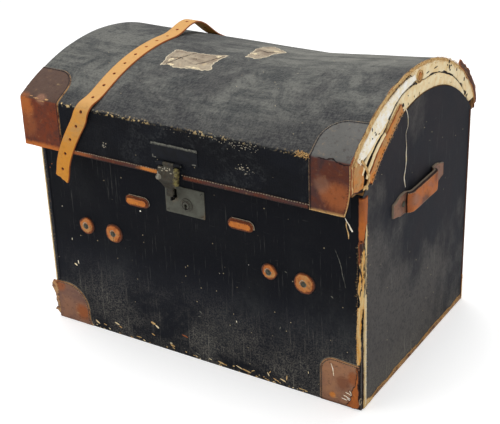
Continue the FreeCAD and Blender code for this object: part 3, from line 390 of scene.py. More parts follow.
looks = {
    "canvas": canvasLook("bodyCanvas", "night", "ink", 0.54, "slate", 0.20, 0.21, 0.13),
    "endCanvas": canvasLook("endCanvas", "ink", "smoke", 0.42, "mist", 0.30, 0.10, 0.80),
    "lid": lidLook(),
    "cap": leatherLook("capLeather", "hide", "umber", seamed=True, up="cocoa"),
    "capLeft": leatherLook(
        "leftCapLeather", "russet", "sienna", seamed=True, up="cocoa", pale=0.16,
        places=[((-0.368, -0.298, 0.528), 0.030, "ember", 0.75),
                ((-0.366, -0.298, 0.490), 0.034, "rust", 0.55),
                ((-0.325, -0.296, 0.548), 0.016, "clay", 0.8)],
        bands=[("Z", 0.455, 0.444, "ember")]),
    "capRight": leatherLook(
        "rightCapLeather", "sienna", "plum", seamed=True, up="haze", pale=0.14,
        places=[((0.352, -0.298, 0.478), 0.040, "rust", 0.9),
                ((0.322, -0.298, 0.500), 0.022, "clay", 0.5)],
        bands=[("Z", 0.449, 0.442, "tan")]),
    "patchLeft": leatherLook(
        "leftCornerLeather", "clay", "mauve", seamed=True,
        places=[((-0.372, -0.251, 0.085), 0.020, "rust", 0.8),
                ((-0.312, -0.251, 0.030), 0.028, "rust", 0.9),
                ((-0.350, -0.251, 0.045), 0.022, "clay", 0.7)]),
    "patchRight": leatherLook(
        "rightCornerLeather", "skin", "clay", seamed=True,
        places=[((0.318, -0.251, 0.020), 0.009, "amber", 0.9),
                ((0.366, -0.251, 0.070), 0.020, "rust", 0.85),
                ((0.340, -0.251, 0.055), 0.020, "hide", 0.6)],
        bands=[("Z", 0.010, 0.001, "umber")]),
    "wornBinding": leatherLook("wornBinding", "ink", "night",
                               bands=[("X", -0.3740, -0.3785, "straw"),
                                      ("Y", -0.2460, -0.2400, "umber")]),
    "darkBinding": leatherLook("darkBinding", "plum", "bark", "umber"),
    "binding": leatherLook("bindingLeather", "ember", "rust", "hide"),
    "footEdge": leatherLook("footBinding", "tan", "umber", "tan", 0.0016),
    "handle": leatherLook("handleLeather", "clay", "mauve", "stain", 0.0020,
                          up="stain", gloss=0.42),
    "grip": leatherLook("gripLeather", "ember", "rust", "bark", 0.0026, 0.42, pale=0.12,
                        places=[((0.395, -0.060, 0.385), 0.020, "clay", 0.5),
                                ((0.398, -0.010, 0.362), 0.026, "umber", 0.8),
                                ((0.398, 0.040, 0.395), 0.020, "hide", 0.8)]),
    "washer": leatherLook("washerLeather", "tan", "ember", "rust", 0.002),
    "washerDark": leatherLook("washerUnder", "rust", "hide", "umber"),
    "tab": leatherLook("tabLeather", "amber", "ember", "hide", 0.0036),
    "strap": leatherLook("strapLeather", "honey", "fawn", "rust", 0.0018, 0.42,
                         up="fawn", bands=[("Z", 0.520, 0.430, "gold")], pale=0.12, grimy=0.14),
    "edging": leatherLook("edgingLeather", "sienna", "plum", "bark",
                          places=[((-0.06, -0.299, 0.447), 0.034, "amber", 0.85),
                                  ((-0.24, -0.299, 0.447), 0.045, "rust", 0.9)]),
    "strip": leatherLook("stripLeather", "amber", "tan", "rust"),
    "rust": leatherLook("remnantLeather", "hide", "bark", "rust"),
    "patchPlain": leatherLook("rimLeather", "mauve", "umber", "rust", 0.008),
    "card": plainLook("creamCard", "bone", "oat", 50, third="straw"),
    "oldCard": plainLook("spottedCard", "bone", "oat", 34, third="straw"),
    "linen": plainLook("bareLinen", "chalk", "bone", 60, depth=0.0006),
    "fibre": plainLook("tornFibre", "straw", "honey", 150, depth=0.0008, grain=(1, 1, 0.12),
                       third="hide"),
    "paleFibre": plainLook("paleFibre", "straw", "cream", 130, depth=0.0008,
                           grain=(1, 1, 0.1), third="tan"),
    "rag": leatherLook("footRag", "rust", "ember", "bark"),
    "tornSkin": plainLook("tornSkin", "straw", "tan", 130, depth=0.0008, third="rust"),
    "paper": leatherLook("agedPaper", "paper", "stain", "slip", 0.0026, 0.7),
    "paleScrap": plainLook("barePaper", "cream", "paper", 150),
    # pale specks and chafe, also painted highlights on the hasp
    "paleSpeckAndGlint": plainLook("paleSpecks", "slip", "dust", 300, depth=0.0001),
    "chafe": plainLook("chafedSkin", "sand", "clay", 200),
    # dark cloth and dark marks, also used as painted shade in holes, slits, splits and grooves
    "darkAndShade": plainLook("darkCloth", "soot", "bark", 90),
    "raw": plainLook("rawEdge", "straw", "tan", 120),
    "rawThread": plainLook("rawThread", "straw", "tan", 300, depth=0.0001),
    "darkThread": plainLook("darkThread", "bark", "soot", 300, depth=0.0001),
    "paleThread": plainLook("paleThread", "cotton", "stain", 200, depth=0.0001),
    "linenThread": plainLook("linenThread", "linen", "cream", 200, depth=0.0001),
    "greyThread": plainLook("greyThread", "dust", "slate", 200, depth=0.0001),
    "blackPaint": plainLook("blackPaint", "soot", "night", 60, 0.6, 0.75, 0.0001),
    "wornPaint": plainLook("wornPaint", "pewter", "haze", 160, depth=0.0001, third="char"),
    # painted shade: near-black for holes, slots, cracks and the staple
    "paintedBlackShade": plainLook("emptyDark", shade(5, 5, 6), shade(8, 7, 7), 90),
    "wood": plainLook("boardWood", "wood", "tan", 30, grain=(0.2, 1, 1)),
    "lining": plainLook("liningCotton", "cotton", "slip", 14, third="paper"),
    "plate": metalLook("platedSteel", "zinc", "lead", "tea", 40, 0.5, 0.54),
    "worn": metalLook("wornPlate", "lead", "grime", "iron", 150, 0.45, 0.50),
    # a light steel tone for the hasp's knob: painted highlight
    "gleam": metalLook("rubbedSteel", "gleam", "pewter", "iron", 260, 0.4),
    "rivet": metalLook("rivetBrass", "verdigris", "grime", "pewter", 200, 0.45),
    "iron": metalLook("darkIron", "iron", "soot", "rust", 120),
    "brass": metalLook("tarnishedBrass", "olive", "grime", "pewter", 160),
}
slotLooks = {
    "board_wood": "wood", "black_canvas": "canvas", "lid_canvas": "lid", "lining_cloth": "lining",
    "brown_leather": "cap", "worn_leather": "binding", "strap_leather": "strap",
    "cream_card": "card", "white_linen": "linen", "aged_paper": "paper", "lock_steel": "plate",
    "hinge_iron": "iron", "hasp_brass": "brass",
}


def wear(node, look):
    mesh = nodes[node].data
    mesh.materials.clear()
    mesh.materials.append(looks[look].material)


for part in frame["record"]["subparts"]:
    wear(part["node"], slotLooks[part["material_slot"]])
for side in ("left", "right"):
    wear("end_canvas_" + side, "endCanvas")
    wear("handle_strap_" + side, "handle")
    wear("handle_grip_" + side, "handle")
wear("leather_washers", "washer")
wear("hasp_mount", "blackPaint")
# the staple is painted black, as shade, so that it reads with the dark slot
wear("hasp_staple", "paintedBlackShade")
print("looks ready:", len(looks))

# sheets, strips, threads and rows: the ways in which every new piece is made
mm = 0.001
rng = np.random.RandomState


def columns(*values):
    return np.column_stack(values)


def smoothLine(points, step):    # a curve through the points, sampled every step
    points = np.array(points, float)
    padded = np.vstack([2 * points[0] - points[1], points, 2 * points[-1] - points[-2]])
    fine = []
    for a, b, c, d in zip(padded, padded[1:], padded[2:], padded[3:]):
        count = max(2, int(np.linalg.norm(c - b) / step * 2))
        t = np.linspace(0, 1, count, endpoint=False)[:, None]
        fine.append(0.5 * (2 * b + (c - a) * t + (2 * a - 5 * b + 4 * c - d) * t ** 2
            + (3 * b - a - 3 * c + d) * t ** 3))
    fine.append(points[-1:])
    return evenly(np.vstack(fine), step)


def evenly(line, step):    # the same line with its points a step apart
    walked = np.concatenate([[0], np.cumsum(np.linalg.norm(np.diff(line, axis=0), axis=1))])
    places = np.linspace(0, walked[-1], max(2, int(round(walked[-1] / step)) + 1))
    return columns(*(np.interp(places, walked, column) for column in line.T))


def softened(line, reach):    # each point moved to the middle of those near it
    return np.array([line[max(0, i - reach):i + reach + 1].mean(0) for i in range(len(line))])


def placesOn(line, u):    # points and directions at distances u along a line with points 1 mm apart
    place = np.clip(u, 0, len(line) - 1.001)
    return (columns(*(np.interp(place, np.arange(len(line)), column) for column in rows.T))
            for rows in (line, np.gradient(line, axis=0)))


def units(vectors):
    return vectors / np.linalg.norm(vectors, axis=1)[:, None]


def closed(points, step):    # a closed outline with straight sides, its points a step apart
    points = np.array(points, float)
    return evenly(np.vstack([points, points[:1]]), step)[:-1]


def wander(count, every, seed, ends=False):    # a smooth random series from -1 to 1
    knots = rng(seed).uniform(-1, 1, max(3, count // every + 2))
    if ends:
        knots[-1] = knots[0]
    places = np.linspace(0, len(knots) - 1, count)
    low = np.minimum(places.astype(int), len(knots) - 2)
    t = places - low
    t = t * t * (3 - 2 * t)
    return knots[low] * (1 - t) + knots[low + 1] * t


def straight(u0, v0, u1, v1, count):
    return columns(np.linspace(u0, u1, count), np.linspace(v0, v1, count))


def sideways(line, loop=False):    # unit vectors to the left of a flat line
    run = (np.roll(line, -1, 0) - np.roll(line, 1, 0)) if loop else np.gradient(line, axis=0)
    run /= np.maximum(np.linalg.norm(run, axis=1), 1e-9)[:, None]
    return columns(-run[:, 1], run[:, 0])


def torn(outline, amount, every, seed):    # a closed outline made ragged
    move = 0.7 * wander(len(outline), every, seed, True)
    move += 0.3 * wander(len(outline), max(1, every // 3), seed + 1, True)
    return outline + sideways(outline, True) * (move * amount)[:, None]


def ribbon(line, width, rough, every, seed, taper=0):    # outline of a strip along a line
    count = len(line)
    side = sideways(line)
    share = np.linspace(0, 1, count)
    slim = 1 - taper * (1 - np.sin(np.pi * np.clip(share, 0.02, 0.98)) ** 0.4)
    left = line + side * ((width / 2 + rough * wander(count, every, seed)) * slim)[:, None]
    right = line - side * ((width / 2 + rough * wander(count, every, seed + 7)) * slim)[:, None]
    return np.vstack([left, right[::-1]])


def stadium(x, z, length, height, step):
    half = (length - height) / 2
    turn = np.linspace(-math.pi / 2, math.pi / 2, 12)
    right = columns(x + half + np.cos(turn) * height / 2, z + np.sin(turn) * height / 2)
    return closed(np.vstack([right, [2 * x, 2 * z] - right]), step)


def around(count):    # so many turns, evenly round the circle
    return np.linspace(0, 2 * math.pi, count, endpoint=False)


def ring(x, z, radius, count):
    turn = around(count)
    return columns(x + np.cos(turn) * radius, z + np.sin(turn) * radius)


def inside(points, outline):
    ahead = np.roll(outline, -1, 0)
    hits = np.zeros(len(points), int)
    for (ax, ay), (bx, by) in zip(outline, ahead):
        crosses = (ay > points[:, 1]) != (by > points[:, 1])
        rise = by - ay if by != ay else 1e-12
        hits += crosses & (points[:, 0] < (bx - ax) * (points[:, 1] - ay) / rise + ax)
    return hits % 2 == 1


def distanceTo(points, line, loop=True):
    starts, stops = (line, np.roll(line, -1, 0)) if loop else (line[:-1], line[1:])
    best = np.full(len(points), 1e9)
    for a, b in zip(starts, stops):
        run = b - a
        share = np.clip(((points - a) @ run) / max(run @ run, 1e-12), 0, 1)
        best = np.minimum(best, np.linalg.norm(points - a - share[:, None] * run, axis=1))
    return best


def fillOutline(outline, holes, spacing, soften):    # flat triangles inside an outline
    loops = [outline] + holes
    (left, foot), (right, top) = outline.min(0), outline.max(0)
    across, along = np.arange(left, right, spacing), np.arange(foot, top, spacing * 0.87)
    grid = np.array([(x + (i % 2) * spacing / 2, y) for i, y in enumerate(along) for x in across])
    rings = [loop - sideways(loop, True) * reach * sign
             for loop in loops for reach in (soften * 0.35, soften) for sign in (-1, 1)]
    extra = np.vstack([grid] + rings) if len(grid) else np.vstack(rings)
    extra = extra[inside(extra, outline)]
    gap = np.min([distanceTo(extra, loop) for loop in loops], axis=0)
    keep = gap > soften * 0.3
    for hole in holes:
        keep &= ~inside(extra, hole)
    extra = extra[keep]
    flat, edges = [], []
    for loop in loops:
        start = len(flat)
        flat += [tuple(p) for p in loop]
        edges += [(start + i, start + (i + 1) % len(loop)) for i in range(len(loop))]
    flat += [tuple(p) for p in extra]
    cut = delaunay_2d_cdt([Vector(p) for p in flat], edges, [], 2, 1e-5)
    flat, faces = np.array([tuple(p) for p in cut[0]]), np.array([tuple(f) for f in cut[2]])
    for hole in holes:
        faces = faces[~inside(flat[faces].mean(1), hole)]
    return flat, faces


def buildMesh(name, points, faces, look, body, stands=(), marks=None, sharp=0.7):
    mesh = bpy.data.meshes.new(name)
    mesh.from_pydata(np.asarray(points).tolist(), [], [tuple(map(int, f)) for f in faces])
    for key, values in (marks or {}).items():
        layer = mesh.attributes.new(key, "FLOAT", "POINT")
        layer.data.foreach_set("value", np.asarray(values, np.float32))
    mesh.materials.append(looks[look].material)
    piece = bpy.data.objects.new(name, mesh)
    stand(piece)
    mesh.polygons.foreach_set("use_smooth", np.ones(len(mesh.polygons), bool))
    mesh.set_sharp_from_angle(angle=sharp)
    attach(piece, body)
    if stands:
        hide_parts(*stands)
    return piece


def groove(seam, depth, far):    # a raised edge with a pressed line beside it
    def relief(places, rim):
        gap = distanceTo(places, seam, False)
        return depth * (np.exp(-((gap - 1.2) / 0.9) ** 2) - np.exp(-(gap - far) ** 2))
    return relief


def inwards(seam, outline):
    side = sideways(seam)
    return side if ((outline.mean(0) - seam) * side).sum() >= 0 else -side


def lumps(height, wide, tall, middle=(0, 0), shift=0):    # a relief of soft lumps
    def relief(places, rim):
        u, v = (places - middle).T
        return height * np.sin(u / wide + shift) * np.sin(v / tall)
    return relief


# A sheet lies on a surface, which takes flat places in millimetres and gives points and
# outward directions in metres.  It is a closed shell, thick where it isn't at its rim.
def addSheet(name, surface, outline, thick, look, body, holes=(), spacing=5, soften=1.2, rest=0,
        relief=None, seam=None, stands=()):
    outline = np.asarray(outline, float)
    holes = [np.asarray(hole, float) for hole in holes]
    flat, faces = fillOutline(outline, holes, spacing, soften)
    area = np.cross(flat[faces[:, 1]] - flat[faces[:, 0]], flat[faces[:, 2]] - flat[faces[:, 0]])
    faces = faces[np.abs(area) > 1e-7]
    rim = np.min([distanceTo(flat, loop) for loop in [outline] + holes], axis=0)
    rise = np.sqrt(1 - (1 - np.clip(rim / soften, 0, 1)) ** 2)
    tall = thick * (0.35 + 0.65 * rise)
    if relief:
        tall = tall + relief(flat, rim) * np.clip(rim / soften, 0, 1)
    base, out = surface(flat[:, 0], flat[:, 1])
    top = base + out * ((rest + tall) * mm)[:, None]
    low = base + out * (rest * mm)
    a, b, c = (top[faces[:, k]] for k in range(3))
    facing = np.einsum("ij,ij->i", np.cross(b - a, c - a), out[faces[:, 0]])
    faces[facing < 0] = faces[facing < 0][:, ::-1]
    count = len(flat)
    seen = {}
    for face in faces:
        for p, q in zip(face, np.roll(face, -1)):
            seen[(p, q)] = seen.get((p, q), 0) + 1
    walls = [(p, p + count, q + count, q) for p, q in seen if (q, p) not in seen]
    everyFace = list(map(tuple, faces)) + [tuple(f[::-1] + count) for f in faces] + walls
    marks = {"edge": np.tile(rim * mm, 2)}
    if seam is not None:
        marks["seam"] = np.tile(distanceTo(flat, np.asarray(seam, float), False) * mm, 2)
    return buildMesh(name, np.vstack([top, low]), everyFace, look, body, stands, marks)


def blob(x, y, wide, tall, sides, rough, seed, tilt=0):    # a small ragged outline
    turn = np.array([[math.cos(tilt), math.sin(tilt)], [-math.sin(tilt), math.cos(tilt)]])
    return torn((ring(0, 0, 1, sides) * [wide, tall]) @ turn + [x, y], rough, 2, seed)


def addMarks(name, surface, places, thick, look, body, sides, rough, seed, rest, spacing, soften=0.3):
    for number, (x, y, wide, tall) in enumerate(places):
        outline = blob(x, y, wide, tall, sides, rough, seed + number)
        addSheet("%s%d" % (name, number), surface, outline, thick, look, body, spacing=spacing,
            soften=soften, rest=rest)


# many small flat flakes as one piece: (place, place, half width, half height)
def addFlakes(name, surface, flakes, look, body, seed, rest=0.05):
    points, faces, thick, sides = [], [], 0.25, 9
    for number, (u, v, wide, tall) in enumerate(flakes):
        outline = blob(u, v, wide, tall, sides, 0.35 * min(wide, tall), seed + number)
        base, out = surface(outline[:, 0], outline[:, 1])
        low = np.arange(sides) + len(points)
        points += list(base + out * (rest * mm)) + list(base + out * ((rest + thick) * mm))
        if np.cross(base[1] - base[0], base[2] - base[1]) @ out[0] < 0:
            low = low[::-1]
        high = low + sides
        faces += [tuple(high), tuple(low[::-1])]
        faces += list(zip(low, np.roll(low, -1), np.roll(high, -1), high))
    return buildMesh(name, points, faces, look, body)


def scatter(seed, count, middle, reach, sizes):    # flakes thrown about a place
    pick = rng(seed)
    places = np.array(middle) + pick.normal(0, 0.5, (count, 2)) * reach
    return columns(places, pick.uniform(0.4, 1, (count, 2)) * sizes)


def tubeFaces(rows, sides):    # round rows of points, with both ends closed
    faces = [(i * sides + j, i * sides + (j + 1) % sides, (i + 1) * sides + (j + 1) % sides,
        (i + 1) * sides + j) for i in range(rows - 1) for j in range(sides)]
    return faces + [tuple(range(sides))[::-1], tuple((rows - 1) * sides + j for j in range(sides))]


def addThread(name, points, radii, look, body, sides=6):    # a round thread along its points
    line = smoothLine(np.asarray(points, float), 1.5) * mm
    sizes = np.interp(np.linspace(0, 1, len(line)), np.linspace(0, 1, len(radii)), radii) * mm
    run = units(np.gradient(line, axis=0))
    across = units(np.cross(run, (0.3, 0.9, 0.31)))
    over = np.cross(run, across)
    rings = [line + (across * math.cos(t) + over * math.sin(t)) * sizes[:, None] for t in around(sides)]
    shell = np.stack(rings, axis=1).reshape(-1, 3)
    return buildMesh(name, shell, tubeFaces(len(line), sides), look, body)


def addTurned(name, centre, axis, profile, look, body, stands=(), sides=32):
    axis = Vector(axis).normalized()
    across = axis.orthogonal().normalized()
    over = axis.cross(across)
    points = [Vector(centre) * mm + (across * math.cos(t) + over * math.sin(t)) * r * mm + axis * h * mm
        for r, h in profile for t in around(sides)]
    return buildMesh(name, points, tubeFaces(len(profile), sides), look, body, stands)


# rows of small parts: trees of nodes that grow them along a line
class Growth(Tree):
    def __init__(self, name, **sizes):
        self.tree = bpy.data.node_groups.new(name, "GeometryNodeTree")
        self.faces = self.tree.interface
        self.faces.new_socket("Geometry", in_out="INPUT", socket_type="NodeSocketGeometry")
        for key, value in sizes.items():
            kind = "NodeSocketInt" if isinstance(value, int) else "NodeSocketFloat"
            self.faces.new_socket(key, in_out="INPUT", socket_type=kind).default_value = value
        self.faces.new_socket("finish", in_out="INPUT", socket_type="NodeSocketMaterial")
        self.faces.new_socket("Geometry", in_out="OUTPUT", socket_type="NodeSocketGeometry")
        self.given = self.tree.nodes.new("NodeGroupInput").outputs

    def random(self, low, high, salt):
        node = self.add("FunctionNodeRandomValue", {2: low, 3: high}, data_type="FLOAT")
        link(self.tree, self.plus(self.given["seed"], float(salt)), node.inputs["Seed"])
        return node.outputs[1]

    def turned(self, rotation, axis, angle):
        more = self.out("FunctionNodeAxisAngleToRotation", {0: axis, 1: angle})
        return self.out("FunctionNodeRotateRotation", {0: rotation, 1: more}, rotation_space="LOCAL")

    def points(self):    # the line as points a pitch apart, with their directions
        curve = self.out("GeometryNodeMeshToCurve", {"Mesh": self.given["Geometry"]})
        even = self.out("GeometryNodeResampleCurve", {"Curve": curve, "Length": self.given["pitch"]},
            mode="LENGTH")
        out = self.out("GeometryNodeInputNamedAttribute", {"Name": "out"}, data_type="FLOAT_VECTOR")
        along = self.out("GeometryNodeInputTangent")
        turn = self.out("FunctionNodeAxesToRotation", {"Primary Axis": out, "Secondary Axis": along},
            primary_axis="Z", secondary_axis="X")
        return even, turn

    def end(self, geometry):
        real = self.out("GeometryNodeRealizeInstances", {"Geometry": geometry})
        done = self.out("GeometryNodeSetMaterial", {"Geometry": real, "Material": self.given["finish"]})
        sink = self.tree.nodes.new("NodeGroupOutput")
        link(self.tree, done, sink.inputs[0])
        return self.tree


def stitchTree():    # short rounded stitches that lie along the line
    g = Growth("stitchRow", pitch=0.004, length=0.003, thickness=0.0009, seed=1)
    even, turn = g.points()
    bead = g.out("GeometryNodeMeshIcoSphere", {"Radius": 0.5, "Subdivisions": 2})
    thick = g.given["thickness"]
    long = g.times(g.given["length"], g.random(0.75, 1.1, 1))
    sizes = g.out("ShaderNodeCombineXYZ", {0: long, 1: thick, 2: thick})
    skew = g.turned(turn, (0, 0, 1), g.random(-0.22, 0.22, 2))
    rows = g.out("GeometryNodeInstanceOnPoints", {"Points": even, "Instance": bead, "Rotation": skew,
        "Scale": sizes})
    return g.end(rows)


def fringeTree():    # fibres that stand out of a torn edge and curl
    g = Growth("fringeRow", pitch=0.001, length=0.006, thickness=0.0003, spread=0.6, curl=0.004, seed=1)
    even, turn = g.points()
    stem = g.out("GeometryNodeCurvePrimitiveLine", {"End": (0, 0, 1)})
    stem = g.out("GeometryNodeResampleCurve", {"Curve": stem, "Count": 6})
    share = g.out("GeometryNodeSplineParameter")
    stem = g.out("GeometryNodeStoreNamedAttribute", {"Geometry": stem, "Name": "share", "Value": share},
        data_type="FLOAT", domain="POINT")
    tilt = g.turned(turn, (1, 0, 0), g.times(g.given["spread"], g.random(-1, 1, 1)))
    tilt = g.turned(tilt, (0, 1, 0), g.times(g.given["spread"], g.random(-1, 1, 2)))
    reach = g.times(g.given["length"], g.sum("POWER", g.random(0.25, 1, 3), 1.6))
    fibres = g.out("GeometryNodeInstanceOnPoints", {"Points": even, "Instance": stem, "Rotation": tilt,
        "Scale": reach})
    fibres = g.out("GeometryNodeRealizeInstances", {"Geometry": fibres})
    held = g.out("GeometryNodeInputNamedAttribute", {"Name": "share"}, data_type="FLOAT")
    drift = g.add("ShaderNodeTexNoise", {"Scale": 170, "Detail": 1}).outputs["Color"]
    drift = g.out("ShaderNodeVectorMath", {0: drift, 1: (0.5, 0.5, 0.5)}, operation="SUBTRACT")
    pull = g.times(g.sum("POWER", held, 1.5), g.given["curl"])
    push = g.out("ShaderNodeVectorMath", {0: drift, "Scale": pull}, operation="SCALE")
    fibres = g.out("GeometryNodeSetPosition", {"Geometry": fibres, "Offset": push})
    thin = g.sum("SUBTRACT", 1, g.times(held, 0.6))
    fibres = g.out("GeometryNodeSetCurveRadius", {"Curve": fibres, "Radius": thin})
    section = g.out("GeometryNodeCurvePrimitiveCircle", {"Resolution": 3,
        "Radius": g.given["thickness"]}, mode="RADIUS")
    hair = g.out("GeometryNodeCurveToMesh", {"Curve": fibres, "Profile Curve": section,
        "Fill Caps": True})
    return g.end(hair)


trees = {"stitches": stitchTree(), "fringe": fringeTree()}


# lines are pairs of points and outward directions, in metres
def growAlong(name, kind, lines, look, body, **sizes):
    points, outward, edges = [], [], []
    for line, out in lines:
        edges += [(len(points) + i, len(points) + i + 1) for i in range(len(line) - 1)]
        points += [tuple(p) for p in line]
        outward += [tuple(o) for o in out]
    mesh = bpy.data.meshes.new(name)
    mesh.from_pydata(points, edges, [])
    layer = mesh.attributes.new("out", "FLOAT_VECTOR", "POINT")
    layer.data.foreach_set("vector", np.array(outward, np.float32).ravel())
    piece = bpy.data.objects.new(name, mesh)
    stand(piece)
    grow = piece.modifiers.new(name, "NODES")
    grow.node_group = trees[kind]
    sizes["finish"] = looks[look].material
    for item in trees[kind].interface.items_tree:
        if item.in_out == "INPUT" and item.name in sizes:
            grow[item.identifier] = sizes[item.name]
    grown = bpy.data.meshes.new_from_object(piece.evaluated_get(bpy.context.evaluated_depsgraph_get()))
    piece.modifiers.remove(grow)
    piece.data = grown
    for spare in [a.name for a in grown.attributes if a.name in ("out", "share")]:
        grown.attributes.remove(grown.attributes[spare])
    grown.polygons.foreach_set("use_smooth", np.ones(len(grown.polygons), bool))
    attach(piece, body)
    return piece


# the trunk's own surfaces, in millimetres
trunk = {"end": 380, "face": 251, "archRadius": 337.25, "archCentre": 240.75, "foot": 0.6,
    "edgeRound": 4}
lid = {"end": 378, "front": -297, "back": 275, "frontCrease": 546, "backCrease": 497,
       "foot": 441, "backFoot": 455, "sag": 90, "sprungSag": 120, "sprungFrom": 110,
       "creaseRound": 4, "rim": 376, "swell": 0.35}


def lidArc(x):    # centre, radius and both end angles of the dome's arc at x
    share = np.maximum(0, (x - lid["sprungFrom"]) / (trunk["end"] - lid["sprungFrom"]))
    sag = lid["sag"] + share * (lid["sprungSag"] - lid["sag"])
    run, drop = lid["back"] - lid["front"], lid["frontCrease"] - lid["backCrease"]
    chord = math.hypot(run, drop)
    radius = ((chord / 2) ** 2 + sag ** 2) / (2 * sag)
    yc = (lid["front"] + lid["back"]) / 2 - (radius - sag) * drop / chord
    zc = (lid["frontCrease"] + lid["backCrease"]) / 2 - (radius - sag) * run / chord
    start = np.arctan2(lid["frontCrease"] - zc, lid["front"] - yc)
    stop = np.arctan2(lid["backCrease"] - zc, lid["back"] - yc)
    return yc, zc, radius, start, stop


def domeLength(x):    # from crease to crease, over the dome
    yc, zc, radius, start, stop = lidArc(np.asarray(x, float))
    return radius * (start - stop)


def overDome(x, y):    # distance from the front crease to the place on the dome at y
    yc, zc, radius, start, stop = lidArc(np.asarray(x, float))
    return radius * (start - np.arccos(np.clip((y - yc) / radius, -1, 1)))


def onDome(places):    # places in plan as places on the lid
    return [(x, float(overDome(x, y)), *rest) for x, y, *rest in places]


def onLid(x, s):    # s runs from the front crease over the dome, and is negative on the skirt
    x, s = np.asarray(x, float), np.asarray(s, float)
    yc, zc, radius, start, stop = lidArc(x)
    length = radius * (start - stop)
    angle = start - np.clip(s, 0, length) / radius
    y, z = yc + radius * np.cos(angle), zc + radius * np.sin(angle)
    ny, nz = np.cos(angle), np.sin(angle)
    for past, edge, rise, turn in ((-s, lid["front"], 1, start), (s - length, lid["back"], -1, stop)):
        corner = lid["frontCrease"] if rise > 0 else lid["backCrease"]
        y = np.where(past > 0, edge, y)
        z = np.where(past > 0, corner - past, z)
        ny, nz = np.where(past > 0, -rise, ny), np.where(past > 0, 0, nz)
        w = lid["creaseRound"]
        near = np.abs(past) < w
        fall, stay = (w + past) ** 2 / (4 * w), (w - past) ** 2 / (4 * w)
        slopeY, slopeZ = np.sin(turn) * rise, -np.cos(turn) * rise
        y = np.where(near, edge + slopeY * stay, y)
        z = np.where(near, corner + slopeZ * stay - fall, z)
        share = (past + w) / (2 * w)
        mixY = np.cos(turn) * (1 - share) - rise * share
        mixZ = np.sin(turn) * (1 - share)
        size = np.hypot(mixY, mixZ)
        ny, nz = np.where(near, mixY / size, ny), np.where(near, mixZ / size, nz)
    lift = lid["swell"] * (1 + np.sin(x / 37 + s / 61) * np.cos(x / 83 - s / 29))
    lift = lift * np.clip((s + 70) / 60, 0, 1) * np.clip((length - s) / 40, 0, 1)
    points = columns(x, y + ny * lift, z + nz * lift) * mm
    return points, columns(np.zeros_like(x), ny, nz)


def onEdge(sideX, sideY):    # u is negative on the long face and positive round the end
    def surface(u, v):
        w = trunk["edgeRound"]
        past = np.clip(u, -w, w)
        far, close = (w + past) ** 2 / (4 * w), (w - past) ** 2 / (4 * w)
        x = sideX * (trunk["end"] - np.where(u < -w, -u, np.where(u > w, 0, close)))
        y = sideY * (trunk["face"] - np.where(u > w, u, np.where(u < -w, 0, far)))
        share = (past + w) / (2 * w)
        size = np.hypot(share, 1 - share)
        return (columns(x, y, v) * mm, columns(sideX * share / size, sideY * (1 - share) / size, 0 * u))
    return surface


def flat(axis, side, level):    # a flat face square to X or Y
    def surface(u, v):
        away = np.full(len(u), level)
        places = [away, u, v] if axis == 0 else [u, away, v]
        normal = np.zeros((len(u), 3))
        normal[:, axis] = side
        return columns(*places) * mm, normal
    return surface


onFront = flat(1, -1, -trunk["face"])
onRim = flat(0, 1, lid["rim"])


def pathOn(surface, line, rest):
    line = np.asarray(line, float)
    points, out = surface(line[:, 0], line[:, 1])
    return points + out * rest * mm, out


# a stitch is (pitch, length, thickness)
def sew(name, surface, line, rest, look, body, stitch, seed):
    pitch, length, thickness = (size / 1000 for size in stitch)
    growAlong(name, "stitches", [pathOn(surface, line, rest)], look, body, pitch=pitch, length=length,
        thickness=thickness, seed=seed)


# hairs are (pitch, length, thickness, spread)
def fray(name, lines, look, body, hairs, seed, curl=6):
    pitch, length, thickness, curl = (size / 1000 for size in (*hairs[:3], curl))
    growAlong(name, "fringe", lines, look, body, pitch=pitch, length=length, thickness=thickness,
        spread=float(hairs[3]), curl=curl, seed=seed)


def arc(x, y, radiusX, radiusY, first, last, count=14):    # degrees, round a centre
    turn = np.radians(np.linspace(first, last, count))
    return [(x + radiusX * math.cos(t), y + radiusY * math.sin(t)) for t in turn]


def ringRound(radius, first, last, step=4):    # about the end arch, degrees from the top
    count = max(2, int(radius * math.radians(abs(last - first)) / step))
    turn = np.radians(np.linspace(first, last, count))
    return columns(radius * np.sin(turn), trunk["archCentre"] + radius * np.cos(turn))


# canvas over the lid
cover = {"thick": 1.45, "step": 6, "fine": 1.5, "fineFrom": 350, "fray": 3.2, "rawWidth": 3}


